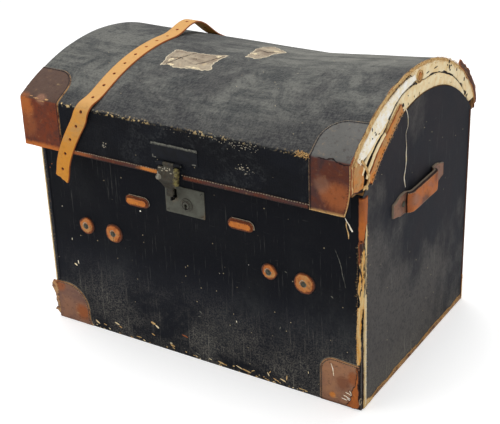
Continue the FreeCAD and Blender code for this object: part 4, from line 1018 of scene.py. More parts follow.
def coverLid(c):
    coarse = np.arange(-lid["end"], c["fineFrom"], c["step"])
    stations = np.concatenate([coarse, np.arange(c["fineFrom"], lid["end"] + 0.1, c["fine"])])
    skirt = np.linspace(lid["foot"] - lid["frontCrease"], -c["step"], 18)
    crease = np.linspace(-lid["creaseRound"], lid["creaseRound"], 7)
    rows = 104
    shares = np.linspace(0, 1, rows)
    back = np.linspace(lid["creaseRound"], lid["backCrease"] - lid["backFoot"], 9)
    count = len(skirt) + len(crease) + rows + len(crease) + len(back)
    fray = c["fray"] * (0.5 + 0.35 * wander(count, 5, 3) + 0.15 * wander(count, 2, 4))
    fray[:len(skirt)] *= 0.2
    grid, marks = [], {"crease": [], "raw": []}
    for x in stations:
        length = float(domeLength(x))
        middle = lid["creaseRound"] + 2 + shares * (length - 2 * lid["creaseRound"] - 4)
        s = np.concatenate([skirt, crease, middle, length + crease, length + back])
        pull = np.clip((x - c["fineFrom"]) / (lid["end"] - c["fineFrom"]), 0, 1)
        across = x - fray * pull
        outer, out = onLid(across, s)
        grid.append((outer, outer - out * c["thick"] * mm))
        marks["crease"].append(np.exp(-np.minimum(np.abs(s), np.abs(s - length)) / 7))
        edge = lid["end"] - fray - across
        ragged = c["rawWidth"] * (0.6 + 0.4 * wander(count, 2, 5))
        marks["raw"].append(np.clip(1.3 - edge / ragged, 0, 1) * (s > -60))
    outer = np.array([g[0] for g in grid])
    inner = np.array([g[1] for g in grid])
    wide, tall = outer.shape[:2]
    index = np.arange(wide * tall).reshape(wide, tall)
    quads = np.stack([index[:-1, :-1], index[1:, :-1], index[1:, 1:], index[:-1, 1:]], -1)
    quads = quads.reshape(-1, 4)
    border = np.concatenate([index[:, 0], index[-1, 1:], index[-2::-1, -1], index[0, -2:0:-1]])
    around = np.roll(border, -1)
    walls = np.stack([border, border + wide * tall, around + wide * tall, around], -1)
    faces = np.vstack([quads, quads[:, ::-1] + wide * tall, walls])
    marks = {key: np.tile(np.concatenate(value), 2) for key, value in marks.items()}
    buildMesh("lidCover", np.vstack([outer.reshape(-1, 3), inner.reshape(-1, 3)]), faces, "lid", "lid",
        ["lid_canvas"], marks, sharp=1.2)


coverLid(cover)
frayLines = []
for first, last, seed in ((-4, 250, 11), (250, 640, 12)):
    s = np.arange(first, min(last, float(domeLength(lid["end"])) + 8), 1.5)
    points, out = onLid(np.full(len(s), lid["end"] - 1.6), s)
    frayLines.append((points, out * 0.35 + np.array([0.9, 0, -0.1])))
fray("lidFray", frayLines, "rawThread", "lid", (1.1, 7.5, 0.22, 0.75), 5)
fray("lidFrayDark", frayLines, "darkThread", "lid", (2.8, 6, 0.24, 0.9), 9)
print("lid covered")

# leather corners of the lid
capCuts = {    # width, how far it reaches back over the dome, share of that which is rounded
    "front_left": (98, 79, 0.64), "front_right": (83, 74, 0.64),
    "back_left": (98, 79, 0.64), "back_right": (83, 74, 0.64)}
capLooks = {"front_left": "capLeft", "front_right": "capRight"}
capMake = {"thick": 2.1, "spacing": 4.5, "cornerIn": 13, "groove": 0.7, "stitchIn": 3.4}


def fitCap(place, width, depth, roundShare, c):
    side = -1 if place.endswith("left") else 1
    front = place.startswith("front")
    inner, outer = side * (lid["end"] - width), side * (lid["end"] + 0.3)
    bend = depth * roundShare

    def s(x, reach):    # a reach back from the crease, in plan, as a distance along the dome
        if front:
            return float(overDome(x, lid["front"] + reach))
        return float(overDome(x, lid["back"] - reach))

    foot = lid["foot"] - lid["frontCrease"]
    if not front:
        foot = float(domeLength(outer)) + lid["backCrease"] - lid["backFoot"]
    free = [(inner, foot), (inner, s(inner, 6))]
    for t in np.radians(np.linspace(180, 90, 16)):
        x = inner + side * bend * (1 + math.cos(t))
        free.append((x, s(x, depth - bend + bend * math.sin(t))))
    free.append((outer, s(outer, depth)))
    rest = [(outer, foot)]
    if place == "front_right":    # its lower corner is pulled in
        rest = [(outer, foot + 66), (outer - 1, foot + 48), (outer - 4, foot + 28),
            (outer - 8.5, foot + 9), (outer - c["cornerIn"], foot)]
    outline = closed(free + rest, 2.5)
    outline = torn(outline, 0.35, 6, 21 + len(place))
    seam = evenly(np.array(free), 2.5)
    addSheet("lidCap_" + place, onLid, outline, c["thick"], capLooks.get(place, "cap"), "lid",
        spacing=c["spacing"], soften=1.6, relief=groove(seam, c["groove"], 3.4), seam=seam,
        stands=["lid_corner_" + place])
    inward = inwards(seam, outline)
    sewn = (seam + inward * c["stitchIn"])[2:-2]
    sew("capStitches_" + place, onLid, sewn, c["thick"] + 0.1, "darkThread", "lid",
        (4.2, 2.6, 1), 3)
    sew("capCord_" + place, onLid, seam - inward, 0.35, "paleThread", "lid", (2.4, 1.6, 0.8), 4)
    if place == "front_right":
        hem = smoothLine([(inner + 1.5, foot + 1.4), (outer - c["cornerIn"] - 4, foot + 1.4),
            (outer - 11.5, foot + 5), (outer - 9, foot + 12), (outer - 5.2, foot + 28),
            (outer - 2.2, foot + 48), (outer - 1.2, foot + 66), (outer - 1.2, -4)], 2)
        sew("capHem", onLid, hem, 1.3, "rawThread", "lid", (2.8, 3, 2.4), 6)
        crack = smoothLine([(inner + 18, 1), (inner + 34, 0), (inner + 46, 3), (inner + 58, -1),
            (inner + 72, -3), (outer - 3, -2)], 1.6)
        addSheet("capCrack", onLid, ribbon(crack, 1.8, 0.8, 2, 33), 0.4, "darkAndShade", "lid", spacing=2,
            soften=0.3, rest=c["thick"] - 0.1)
        tuft = columns(np.linspace(inner - 26, inner - 1, 40), 1.5 * wander(40, 5, 34))
        fray("creaseTuft", [pathOn(onLid, tuft + [0, up], 0.2) for up in (-3, 0.5, 3.5)], "rawThread",
            "lid", (0.8, 6, 0.6, 1.2), 7, 4)
        sewnEnd = np.array([(outer - 4.5, foot + 60), (outer - 5.5, foot + 46), (outer - 8, foot + 28),
            (outer - 12, foot + 10)])
        sew("capEndStitches", onLid, smoothLine(sewnEnd, 2), c["thick"] + 0.05, "darkThread", "lid",
            (5.5, 2.2, 1.4), 5)


for place, (width, depth, roundShare) in capCuts.items():
    fitCap(place, width, depth, roundShare, capMake)
chafes = [(-336, 1.5, 7, 1.2), (-322, -2, 9, 0.9), (-309, 2.5, 5, 1.4), (-350, 4, 4, 1)]
addMarks("capChafe", onLid, chafes, 0.3, "chafe", "lid", 22, 0.5, 36, capMake["thick"] + 0.1, 1.8)
print("lid corners fitted")

# travel strap, from its free end in front, over the dome and down the back
strap = {
    "width": 34, "thick": 3.2, "fromEnd": 173, "stand": 2.5, "rest": 0.15, "settle": 24,
    "fall": [(-83, 379), (-78, 406), (-67, 440), (-48, 477), (-27, 511), (-11, 535)],
    "creaseIn": 5, "humpFrom": -10, "humpTo": 170, "hump": 25, "backRise": 6,
    "firstHole": 27, "pitch": 38, "hole": 2.3, "creaseMark": 46, "soften": 18,
    "bow": 4.4, "bowReach": 26}


def strapRoute(c):
    middle = c["fromEnd"] - lid["end"]
    yc, zc, radius, start, stop = lidArc(np.float64(middle))

    def height(y, lift):
        return zc + math.sqrt((radius + lift) ** 2 - (y - yc) ** 2)

    ahead = lid["front"] - c["stand"]
    line = [(middle + x, ahead, z) for x, z in c["fall"]]
    line.append((middle - c["creaseIn"], ahead, height(ahead, c["stand"]) + c["rest"]))
    first = lid["front"] + 2
    for y in np.linspace(first, lid["back"] - 1, 120):
        settled = min(1, (y - first) / c["settle"])
        z = height(y, c["stand"] + (c["rest"] + 0.75 - c["stand"]) * settled)
        if c["humpFrom"] < y < c["humpTo"]:
            share = (y - c["humpFrom"]) / (c["humpTo"] - c["humpFrom"])
            z += c["hump"] * math.sin(math.pi * share) ** 2
        line.append((middle - c["creaseIn"] * (1 - settled), y, z))
    behind = lid["back"] + c["rest"] + 0.5
    line.append((middle, behind, height(lid["back"], 0) + 0.3))
    line.append((middle, behind, lid["backFoot"] + c["backRise"]))
    line = evenly(np.array(line), 1)
    soft = softened(line, c["soften"])
    soft[:, 0] = softened(line[:, 0], 2 * c["soften"])
    soft[0], soft[-1] = line[0], line[-1]
    bends = [(ahead, height(ahead, c["stand"])), (behind, height(lid["back"], 0))]
    run = np.gradient(soft, axis=0)
    out = units(columns(0 * run[:, 0], -run[:, 2], run[:, 1]))
    for y, z in bends:    # stiff leather bows out where it turns over a crease
        away = np.hypot(soft[:, 1] - y, soft[:, 2] - z)
        soft = soft + out * (c["bow"] * np.exp(-(away / c["bowReach"]) ** 2))[:, None]
    return evenly(soft, 1)


strapLine = strapRoute(strap)


def onStrap(u, v):    # u from the free end, v across
    centre, along = placesOn(strapLine, u)
    along = units(along)
    out = units(columns(0 * u, -along[:, 2], along[:, 1]))
    side = np.cross(along, out)
    return (centre + side * v[:, None]) * mm, out


def cutStrap(c):
    length, half = len(strapLine) - 1, c["width"] / 2
    tip = [(5, -half), (3.2, -half * 0.6), (4.6, -half * 0.2), (1.4, half * 0.2), (2.6, half * 0.5),
        (0.2, half * 0.8), (1.2, half)]
    body = [(length, half), (length, -half)]
    outline = torn(closed(tip + body, 2.5), 0.25, 14, 31)
    outline[:, 0] = np.clip(outline[:, 0], 0.2, length)
    places = np.arange(c["firstHole"], length - 20, c["pitch"])
    punched = [ring(place, 0.3, c["hole"], 14) for place in places]
    for number, place in enumerate(places):    # painted shade in the bottom of each hole
        addSheet("strapHole%d" % number, onStrap, ring(place, 0.3, c["hole"] - 0.1, 10), 1.4, "darkAndShade",
            "lid", spacing=2, soften=0.3)

    def relief(points, rim):    # a pressed line near each edge, and the crease near its end
        line = np.exp(-((rim - 3.2) / 0.7) ** 2)
        fold = np.exp(-((points[:, 0] - c["creaseMark"] + 0.1 * points[:, 1]) / 1.4) ** 2)
        cup = (points[:, 1] / half) ** 2
        return 0.25 * (1 - cup) - 0.35 * line - 0.6 * fold
    addSheet("strapLeather", onStrap, outline, c["thick"] - 0.2, "strap", "lid", punched, 3.2, 1.3,
        relief=relief, stands=["travel_strap"])


cutStrap(strap)
print("strap laid")

# what is left of two paper labels, torn, on the dome: (x, y)
labels = {
    "large": [(-139, -107), (-141, -72), (-110, -74), (-67, -71), (-44, -66), (-20, -60), (-24, -80),
              (-29, -103), (-17, -134), (-34, -141), (-62, -142), (-99, -148), (-116, -137),
              (-131, -146)],
    "small": [(3, 4), (4, 37), (20, 55), (46, 34), (71, 18), (55, -8), (54, -36), (37, -54),
              (14, -52), (9, -22)],
}
for name, corners in labels.items():
    outline = torn(closed(onDome(corners), 2), 2.6, 3, 41 + len(name))
    addSheet(name + "Label", onLid, outline, 0.35, "paper", "lid", spacing=5, soften=0.8,
        relief=lumps(0.25, 5, 7), stands=["paper_labels"] if name == "large" else [])
scraps = [(-60, -136, 20, 2.4), (-122, -120, 5, 7), (-112, -138, 9, 3), (-36, -74, 6, 4),
    (50, 12, 9, 3), (20, -28, 6, 4)]
cracks = [
    [(-122, -138), (-112, -118), (-96, -84), (-88, -76)],
    [(-128, -112), (-110, -106), (-98, -112)],
    [(-60, -124), (-44, -104), (-34, -82), (-26, -74)],
    [(-80, -104), (-74, -100), (-72, -104)],
    [(14, -14), (22, -2), (38, -6), (48, 4)]]
for number, line in enumerate(cracks):
    path = smoothLine(onDome(line), 1.5)
    addSheet("labelCrack%d" % number, onLid, ribbon(path, 1.7, 0.9, 2, 45 + number), 0.3, "darkAndShade",
        "lid", spacing=2, soften=0.3, rest=0.5)
addMarks("paleScrap", onLid, onDome(scraps), 0.4, "paleScrap", "lid", 26, 1.6, 50, 0.2, 3, 0.6)
print("labels laid")

# right rim of the lid: its cover is torn away, and what lay under it shows in layers (y, z)
rimMake = {"seat": 0.05, "underThick": 0.5, "bandThick": 2.3, "cardThick": 1.5, "inset": 1.6,
    "step": 2.5}
rimCurves = {
    "linenOuter": [(-276, 544), (-255, 563), (-230, 578), (-212, 591), (-190, 602), (-171, 610),
                   (-141, 618), (-106, 626), (-71, 630), (-38, 629)],
    "linenInner": [(-31, 617), (-62, 614), (-102, 607), (-129, 595), (-147, 584), (-170, 570),
                   (-200, 556), (-236, 541), (-265, 530)],
    "cardTop": [(-150, 566), (-117, 591), (-82, 606), (-28, 607), (23, 603), (60, 600), (90, 592),
                (130, 575), (163, 557), (195, 531), (218, 505), (238, 478)],
    "innerFold": [(-256, 508), (-245, 524), (-229, 537), (-210, 550), (-192, 560), (-170, 568),
                  (-152, 580)],
    "outerFold": [(-240, 496), (-230, 511), (-216, 525), (-200, 538), (-182, 549), (-165, 557)],
    "stripLine": [(-228, 484), (-213, 501), (-196, 517), (-174, 534), (-150, 549), (-127, 564),
                  (-112, 574), (-96, 583)],
    "remnant": [(176, 588), (206, 566), (235, 538), (258, 512), (272, 486), (275, 466)],
}


def lidRim(inset, x=lid["end"]):    # the lid's outline at its end, moved inwards: (y, z)
    s = np.arange(-60, float(domeLength(x)) + 28, 2.5)
    points, out = onLid(np.full(len(s), x), s)
    return (points / mm - out * np.asarray(inset))[:, 1:]


def dressRim(c, curves):
    outer = lidRim(c["inset"])
    keep = outer[:, 1] > 478.5
    low = ringRound(trunk["archRadius"] + 0.8, -47, 47)
    under = np.vstack([outer[keep], low[::-1]])
    addSheet("rimUnderCloth", onRim, under, c["underThick"], "darkAndShade", "lid", spacing=14,
        rest=c["seat"], stands=["rim_cloth_right"])
    # card beside the arch, and a band of card round it, with a gap between them where the dark cloth
    # below shows as painted shade
    top = smoothLine(curves["cardTop"], c["step"])
    foot = ringRound(trunk["archRadius"] + 1, -27, 46, 3)
    card = torn(np.vstack([top, foot[::-1]]), 0.7, 4, 61)
    addSheet("rimCard", onRim, card, c["cardThick"], "card", "lid", spacing=6, soften=0.9,
        rest=c["seat"] + c["underThick"], stands=["rim_card_right"],
        relief=lambda p, rim: 0.25 * np.sin(p[:, 0] / 16) * np.cos(p[:, 1] / 9))
    edge = lidRim(5)
    edge = edge[(edge[:, 0] > -60) & (edge[:, 1] > 480)]
    gap = 2.4 + 3.6 * np.clip(wander(len(top), 9, 62), 0, 1)
    inner = top + sideways(top) * gap[:, None]
    inner = inner[(inner[:, 0] > -20)]
    band = torn(np.vstack([edge, inner[::-1]]), 1.1, 4, 63)
    addSheet("rimBand", onRim, band, c["bandThick"], "oldCard", "lid", spacing=6, soften=1.2,
        rest=c["seat"] + c["underThick"], relief=lumps(0.4, 11, 8, shift=1))
    # torn skin that was folded over the rim, all the way round
    s = lidRim(0.9)
    s = s[s[:, 1] > 479]
    share = np.linspace(0, 1, len(s))
    width = 6 + 11 * np.exp(-((share - 0.12) / 0.16) ** 2) + 2 * wander(len(s), 7, 64)
    width += 3 * np.exp(-((share - 0.93) / 0.08) ** 2)
    folded = np.vstack([s, (s - sideways(s) * width[:, None])[::-1]])
    addSheet("rimFold", onRim, folded, 1.2, "tornSkin", "lid", spacing=5, soften=1, rest=1.3,
        relief=lumps(0.5, 3.1, 4.3))
    points = pathOn(onRim, (s - sideways(s) * (width - 0.8)[:, None])[::2], 2.3)[0]
    lean = columns(np.full(len(points), 0.55), sideways(s)[::2] * -0.8)
    for number, (first, last, look) in enumerate(((470, 556, "rust"), (556, 640, "tornSkin"))):
        run = s[(s[:, 0] < -40) & (s[:, 1] > first) & (s[:, 1] < last)]
        addSheet("rimRawEdge%d" % number, onRim, ribbon(run + sideways(run) * 0.4, 5, 2, 3, 69, 0.4),
            0.8, look, "lid", spacing=3, soften=0.7, rest=2.4)
    fray("rimFoldFray", [(points, lean)], "rawThread", "lid", (1.6, 6, 0.22, 0.8), 6)


def layLinen(curves):    # a band of white linen, pinned at its foot, that ends in a curl
    outer, inner = (smoothLine(curves[k], 2.5) for k in ("linenOuter", "linenInner"))
    outline = torn(np.vstack([outer, inner]), 1.2, 4, 65)

    def relief(points, rim):
        fold = distanceTo(points, outer, False)
        return 1.1 * np.sin(fold / 2.6 + 0.6 * np.sin(points[:, 0] / 24)) ** 2 - 0.2
    addSheet("rimLinen", onRim, outline, 1.6, "linen", "lid", spacing=3, soften=1.5, rest=2.3,
        relief=relief)
    lines = []
    for edge in (outer, inner):
        side = sideways(edge)[::2]
        lines.append((pathOn(onRim, edge[::2], 3)[0], columns(np.full(len(side), 0.5), side)))
    fray("linenFray", lines, "linenThread", "lid", (2.2, 6, 0.18, 0.9), 8, 7)
    # each fold is a narrow strip of cloth or card on edge
    for name, line, width, thick, rest in (("rimInnerFold", "innerFold", 10, 2.6, 1.6),
                                           ("rimOuterFold", "outerFold", 9, 2.2, 3.6)):
        outline = ribbon(smoothLine(curves[line], 2), width, 1, 4, 66, 0.35)
        addSheet(name, onRim, outline, thick, "card", "lid", spacing=2.5, soften=2, rest=rest,
            relief=lambda p, rim: 0.5 * np.sin(p[:, 0] / 6) - 0.25 * np.cos(p[:, 1] / 3))


def sewStrip(curves):    # a stitched leather strip that hangs over the arch's edge
    path = smoothLine(curves["stripLine"], 2)
    outline = ribbon(path, 25, 1.6, 4, 67, 0.12)
    addSheet("rimStrip", onRim, outline, 1.5, "strip", "lid", spacing=3, soften=1.3, rest=4.5,
        relief=lambda p, rim: 0.35 * np.sin(p[:, 0] / 7 + p[:, 1] / 5), stands=["rim_strip_right"])
    fill = smoothLine(curves["stripLine"][1:], 3) + [-4, 6]
    addSheet("stripFilling", onRim, ribbon(fill, 13, 1, 4, 68, 0.2), 3.6, "tornSkin", "lid", spacing=4,
        soften=1.5, rest=0.6)
    side = sideways(path)
    low = path - side * 11.5
    down = columns(np.full(len(side), 0.25), -side)
    points = pathOn(onRim, low, 5.3)[0]
    fray("stripFray", [(points, down)], "rawThread", "lid", (1.6, 4, 0.22, 0.5), 12, 4)
    sew("stripStitches", onRim, path - side * 6, 6, "darkThread", "lid", (8.5, 5.5, 1.8), 13)
    sew("stripHem", onRim, low + side * 1.2, 6, "paleThread", "lid", (3.2, 3, 1.2), 14)


curl = {"middle": (-20, 621), "outer": 15, "inner": 7, "turns": 1.45, "wide": 5}


def rollCurl(c):    # the torn end rolled up on itself, its edge to the viewer
    y0, z0 = c["middle"]
    reach = 2 * math.pi * c["turns"]

    def surface(u, v):
        angle = u / 10
        radius = c["outer"] + (c["inner"] - c["outer"]) * angle / reach
        turn = angle + math.radians(200)
        y, z = y0 + radius * np.cos(turn), z0 + radius * np.sin(turn) * 0.9
        normal = columns(0 * u, np.cos(turn), np.sin(turn))
        return columns(lid["rim"] + 1 + v, y, z) * mm, normal
    outline = torn(closed([(0, 0), (reach * 10, 0), (reach * 10, c["wide"]), (0, c["wide"])], 2), 0.5,
        3, 71)
    addSheet("rimCurl", surface, outline, 1.4, "tornSkin", "lid", spacing=2.2, soften=0.7)
    addSheet("curlHeart", onRim, torn(ring(y0 + 2, z0 - 1, 8.5, 24), 1.4, 3, 72), 3.4, "strip", "lid",
        spacing=2.5, soften=3, rest=1.5, relief=lumps(0.6, 1.9, 2.3))


# dark marks on the card: (y, z, half width, half height)
marks = {
    "mould": [(126, 604, 4.5, 3.5), (127, 593, 3.2, 6), (117, 600, 3, 2.2), (136, 593, 3.5, 1.8),
              (131, 585, 2.2, 2), (166, 575, 2.4, 3.4), (209, 541, 2.6, 4.4), (218, 509, 5.5, 6.5),
              (228, 500, 3.5, 2.8), (60, 613, 9, 1.3), (20, 615, 7, 1.6)],
    "holes": [(-65, 596, 1.6, 1.2), (-37, 585, 1.3, 2.2), (-14, 583, 1.4, 4), (-64, 579, 1.2, 3),
              (-88, 584, 5, 4), (-30, 610, 4.5, 3.6), (-105, 588, 2.6, 5.5), (60, 598, 1, 1),
              (88, 583, 0.9, 0.9), (30, 590, 0.9, 0.9), (140, 556, 1.2, 1.2), (188, 520, 2, 1.5)],
    "linen": [(-219, 583, 1.4, 4), (-204, 569, 2.6, 2.6), (-218, 566, 1.8, 1.6), (-208, 574, 2.2, 1.5),
              (-192, 566, 2.4, 1.4), (-262, 539, 1.5, 3), (-268, 545, 1.2, 1.2)],
}


def stainRim(spots):
    for kind, rest, height in (("mould", 2.9, 0.45), ("holes", 2.1, 0.35), ("linen", 4.6, 0.5)):
        for number, (y, z, wide, tall) in enumerate(spots[kind]):
            outline = blob(y, z, wide, tall, 18, 0.3 * min(wide, tall), 80 + number)
            level = rest if kind != "holes" or z < 605 else 2.9
            addSheet("%sMark%d" % (kind, number), onRim, outline, height, "darkAndShade", "lid", spacing=2,
                soften=0.4, rest=level - height + 0.25)


def tearFront():    # what bulges out of the rim's front foot
    pad = torn(closed([(-289, 538), (-262, 541), (-250, 524), (-246, 500), (-250, 482), (-268, 480),
        (-288, 486), (-292, 510)], 2.5), 1.5, 4, 91)
    addSheet("rimPad", onRim, pad, 3.4, "strip", "lid", spacing=3, soften=5, rest=0.6,
        relief=lumps(0.9, 4.1, 6.3))
    hook = smoothLine([(-262, 540), (-250, 528), (-240, 513), (-233, 499), (-233, 488), (-242, 482),
        (-254, 481)], 1.5)
    addSheet("rimHook", onRim, ribbon(hook, 6, 0.8, 4, 92, 0.3), 2.2, "raw", "lid", spacing=2,
        soften=1.6, rest=4.4)
    scraps = [((-262, 545), 6, 3.4, "linen"), ((-247, 483), 5, 3, "tornSkin"),
        ((-238, 477), 4, 3.2, "raw"), ((-283, 541), 6, 5, "tornSkin")]
    for number, ((y, z), wide, tall, look) in enumerate(scraps):
        outline = blob(y, z, wide, tall, 20, 1.2, 95 + number)
        addSheet("rimScrap%d" % number, onRim, outline, 1.6, look, "lid", spacing=1.8, soften=1,
            rest=4.4)


def tearBack(curves):    # leather left on the rim at the back
    path = smoothLine(curves["remnant"], 2.5)
    addSheet("rimRemnant", onRim, ribbon(path, 15, 2.2, 4, 97, 0.45), 1.6, "rust", "lid", spacing=3.5,
        soften=1, rest=2.6, relief=lambda p, rim: 0.6 * np.sin(p[:, 0] / 5 + p[:, 1] / 9))
    edge = path - sideways(path) * 7.5
    addThread("rimRemnantCord", columns(np.full(len(edge), lid["rim"] + 4), edge)[::4],
        [0.4, 0.9, 0.6, 1, 0.5], "rawThread", "lid")


def hangThreads():
    hang = trunk["end"] + 1.2
    long = [(hang - 1.5, -86, 586), (hang, -82, 578), (hang, -71, 559), (hang, -69, 538),
        (hang, -77, 524), (hang, -73, 496), (hang, -74, 484), (hang, -73, 466), (hang, -76, 448),
        (hang, -80, 434), (hang, -73, 411)]
    addThread("longThread", long, [0.5, 0.9, 0.6, 0.5, 0.3, 0.3, 0.4, 0.9, 1.2, 0.5, 0.9, 1.1, 0.3],
        "linenThread", "lid")
    front = lid["front"] - 2
    tag = [(368, front, 441), (373, front - 1, 434), (377, front - 1, 429), (379, front, 423),
        (383, front, 417)]
    addThread("cornerThread", tag, [0.5, 0.6, 0.7, 1, 1.5, 1.2], "linenThread", "lid")
    addThread("cornerTuft", [(369, front + 4, 436), (369, front + 3, 424), (373, front + 3, 410),
        (374, front + 3, 399)], [0.3, 0.9, 0.5, 1.3, 0.4], "rawThread", "lid")


dressRim(rimMake, rimCurves)
layLinen(rimCurves)
sewStrip(rimCurves)
rollCurl(curl)
stainRim(marks)
tearFront()
tearBack(rimCurves)
hangThreads()
print("right rim dressed")


# leather over the left rim, and the skirt's board with its drawn-in corner
def closeLeft():
    outer = lidRim(1.6, -lid["end"])
    outer = outer[outer[:, 1] > 478.5]
    low = ringRound(trunk["archRadius"] + 0.8, -46.5, 46.5, 3)
    surface = flat(0, -1, -lid["rim"])
    seam = outer - sideways(outer) * 5
    addSheet("leftRimLeather", surface, torn(np.vstack([outer, low[::-1]]), 0.3, 4, 98), 1.9,
        "patchPlain", "lid", spacing=8, soften=1.2, rest=0.05, stands=["rim_cover_left"])
    sew("leftRimStitches", surface, seam, 1.9, "paleThread", "lid", (4.5, 3.2, 1.1), 15)


def boardSkirt():
    low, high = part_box("front_skirt")
    x0, x1, z0, z1 = (v / mm for v in (low[0], high[0], low[2], high[2]))
    outline = closed([(x0, z0), (x1 - 14, z0), (x1 - 10, z0 + 6), (x1 - 5.5, z0 + 22),
        (x1 - 2.5, z0 + 42), (x1 - 1.5, z0 + 60), (x1, z0 + 70), (x1, z1), (x0, z1)], 6)
    thick = (high[1] - low[1]) / mm
    addSheet("skirtBoard", flat(1, -1, high[1] / mm), outline, thick, "wood", "lid", spacing=22,
        soften=0.4, stands=["front_skirt"])


closeLeft()
boardSkirt()

# leather at the foot of the box: corners and the upright bindings over its edges
corners = {    # width on the long face, height, radius of the free corner, turn round the end
    "front_left": (87, 94, 56, 62), "front_right": (90, 104, 32, 0),
    "back_left": (87, 98, 54, 62), "back_right": (90, 98, 54, 0)}
cornerLooks = {"front_left": "patchLeft", "front_right": "patchRight"}
cornerMake = {"thick": 2, "spacing": 4.5, "tornEdge": 4, "stitchIn": 3.6, "flare": 7, "groove": 0.7}
sides = {"left": -1, "right": 1, "front": -1, "back": 1}


def cutCorner(place, width, height, radius, turn, c):
    faceSide, endSide = place.split("_")
    surface = onEdge(sides[endSide], sides[faceSide])
    free = [(-width - c["flare"], trunk["foot"]), (-width - 3, 7), (-width, 18),
        (-width, height - radius)]
    free += arc(-width + radius, height - radius, radius, radius, 180, 90)[1:]
    if place == "front_right":
        free[:3] = [(-width, trunk["foot"]), (-width, 9), (-width, 20)]
    if turn:
        reach = turn * 0.62
        free += [(turn - reach, height)] + arc(turn - reach, height - reach, reach, reach, 90, 0)[1:]
        free.append((turn, trunk["foot"]))
        rest = []
    else:
        free.append((-c["tornEdge"], height - 3))
        rest = [(-c["tornEdge"] - 1, height - 30), (-c["tornEdge"] - 3, 36), (-c["tornEdge"] - 9, 12),
            (-c["tornEdge"] - 13, trunk["foot"])]
    outline = closed(free + rest, 2.5)
    ragged = torn(outline, 0.5, 5, 101 + len(place))
    ragged[:, 1] = np.maximum(ragged[:, 1], trunk["foot"])
    seam = evenly(np.array(free), 2.5)
    addSheet("bottomCorner_" + place, surface, ragged, c["thick"], cornerLooks.get(place, "cap"),
        "trunk", spacing=c["spacing"], soften=1.6, relief=groove(seam, c["groove"], 3.6), seam=seam,
        stands=["bottom_corner_" + place])
    inward = inwards(seam, ragged)
    sewn = (seam + inward * c["stitchIn"])[3:-3]
    sew("cornerStitches_" + place, surface, sewn, c["thick"] + 0.05, "paleThread", "trunk",
        (4.6, 2.8, 1), 21)
    sew("cornerCord_" + place, surface, (seam - inward * 1.4)[2:-2], 0.25, "paleThread", "trunk",
        (1.5, 2.1, 0.9), 22)


for place, (width, height, radius, turn) in corners.items():
    cutCorner(place, width, height, radius, turn, cornerMake)
print("bottom corners cut")

binding = {"front": 12, "side": 20, "top": 462, "thick": 2, "spacing": 4}


def bindEdge(place, look, side, low, endLow, b):
    faceSide, endSide = place.split("_")
    surface = onEdge(sides[endSide], sides[faceSide])
    outline = torn(closed([(-b["front"], low), (-b["front"], b["top"]), (side, b["top"]),
        (side, endLow), (1, endLow), (1, low)], 3), 0.8, 5, 111 + len(place))
    outline[:, 1] = np.clip(outline[:, 1], trunk["foot"], b["top"])
    addSheet("cornerBinding_" + place, surface, outline, b["thick"], look, "trunk",
        spacing=b["spacing"], soften=1.4, stands=["corner_binding_" + place])
    rows = [(-b["front"] + 2.5, 31), (side - 2.5, 32)]
    for u, seed in rows[1:] if look == "wornBinding" else rows:
        run = straight(u, low + 4, u, b["top"] - 4, 80)
        sew("bindingStitches_%s%d" % (place, seed), surface, run, 2, "paleThread", "trunk",
            (4.8, 3, 0.9), seed)


def frayEdge(name, surface, line, lean, look, hairs, seed, spread=0.7):
    points, out = pathOn(surface, line, 0.6)
    fray(name, [(points, out * lean[0] + np.array(lean[1:]))], look, "trunk", (*hairs, 0.22, spread),
        seed)


bindEdge("front_left", "wornBinding", binding["side"], 95, 95, binding)
bindEdge("back_left", "darkBinding", binding["side"], 99, 99, binding)
bindEdge("back_right", "darkBinding", 6, 99, trunk["foot"], binding)
leftEdge, backEdge = onEdge(-1, -1), onEdge(1, 1)
frayEdge("leftEdgeFray", leftEdge, straight(-9.5, 100, -9.5, 458, 120), (0.5, -0.8, 0, 0), "rawThread",
    (2.4, 6), 41)
frayEdge("leftEdgeLint", leftEdge, straight(-4, 99, -4, 330, 90), (0.4, -0.9, 0, 0.1), "linenThread",
    (1.6, 7), 42)
frayEdge("backEdgeFray", backEdge, straight(5.5, 4, 5.5, 458, 120), (0.6, 0, 0.6, 0), "rawThread",
    (4, 5), 43)

# the front right edge has come open: orange leather above, two bare cream edges below
openEdge = {
    "leather": [(-9, 462), (15, 462), (14.5, 430), (14, 412), (11, 402), (8, 392), (4, 380), (1, 366),
                (-3, 376), (-6, 368), (-9, 384)],
    "upperCream": [(4, 414), (13, 408), (15, 380), (13.5, 340), (14, 300), (13, 250), (4, 246),
                   (3, 300), (2, 340), (4, 372)],
    "tornTan": [(-2, 352), (5, 362), (6, 330), (5, 300), (4, 262), (5, 214), (2, 206), (0, 222),
                (-6, 226), (-5, 250), (-8, 268), (-7, 292), (-4, 304), (-5, 326)],
    "leftStrip": [(-9, 232), (0, 236), (1, 205), (-1, 180), (-1.5, 150), (-1.5, 125), (-2.5, 106),
                  (-9.5, 105), (-10, 135), (-10.5, 170), (-9.5, 200)],
    "rightStrip": [(4, 258), (13, 260), (13.5, 225), (14, 180), (15, 120), (16.5, 60), (17, 4), (9, 2),
                   (9.5, 40), (9, 80), (6.5, 120), (5, 170), (3.5, 220)],
    # painted shade: a dark sheet in the gap between the two strips
    "dark": [(-3, 214), (4, 214), (7, 160), (10, 100), (11, 3), (-14, 2), (-6, 30), (-4, 100),
             (-3, 170)],
    "shade": [(-9, 372), (5, 372), (5, 338), (1, 330), (-8, 322)],
    "foot": [(-32, 1.5), (-6, 1), (-3, 12), (-3, 40), (-5, 70), (-4, 100), (-11, 102), (-12, 76),
             (-15, 52), (-21, 34), (-24, 20), (-33, 10)],
    "footTan": [(8, 1), (52, 1), (46, 7), (38, 9), (30, 14), (24, 13), (19, 19), (14, 24), (9, 20)],
}


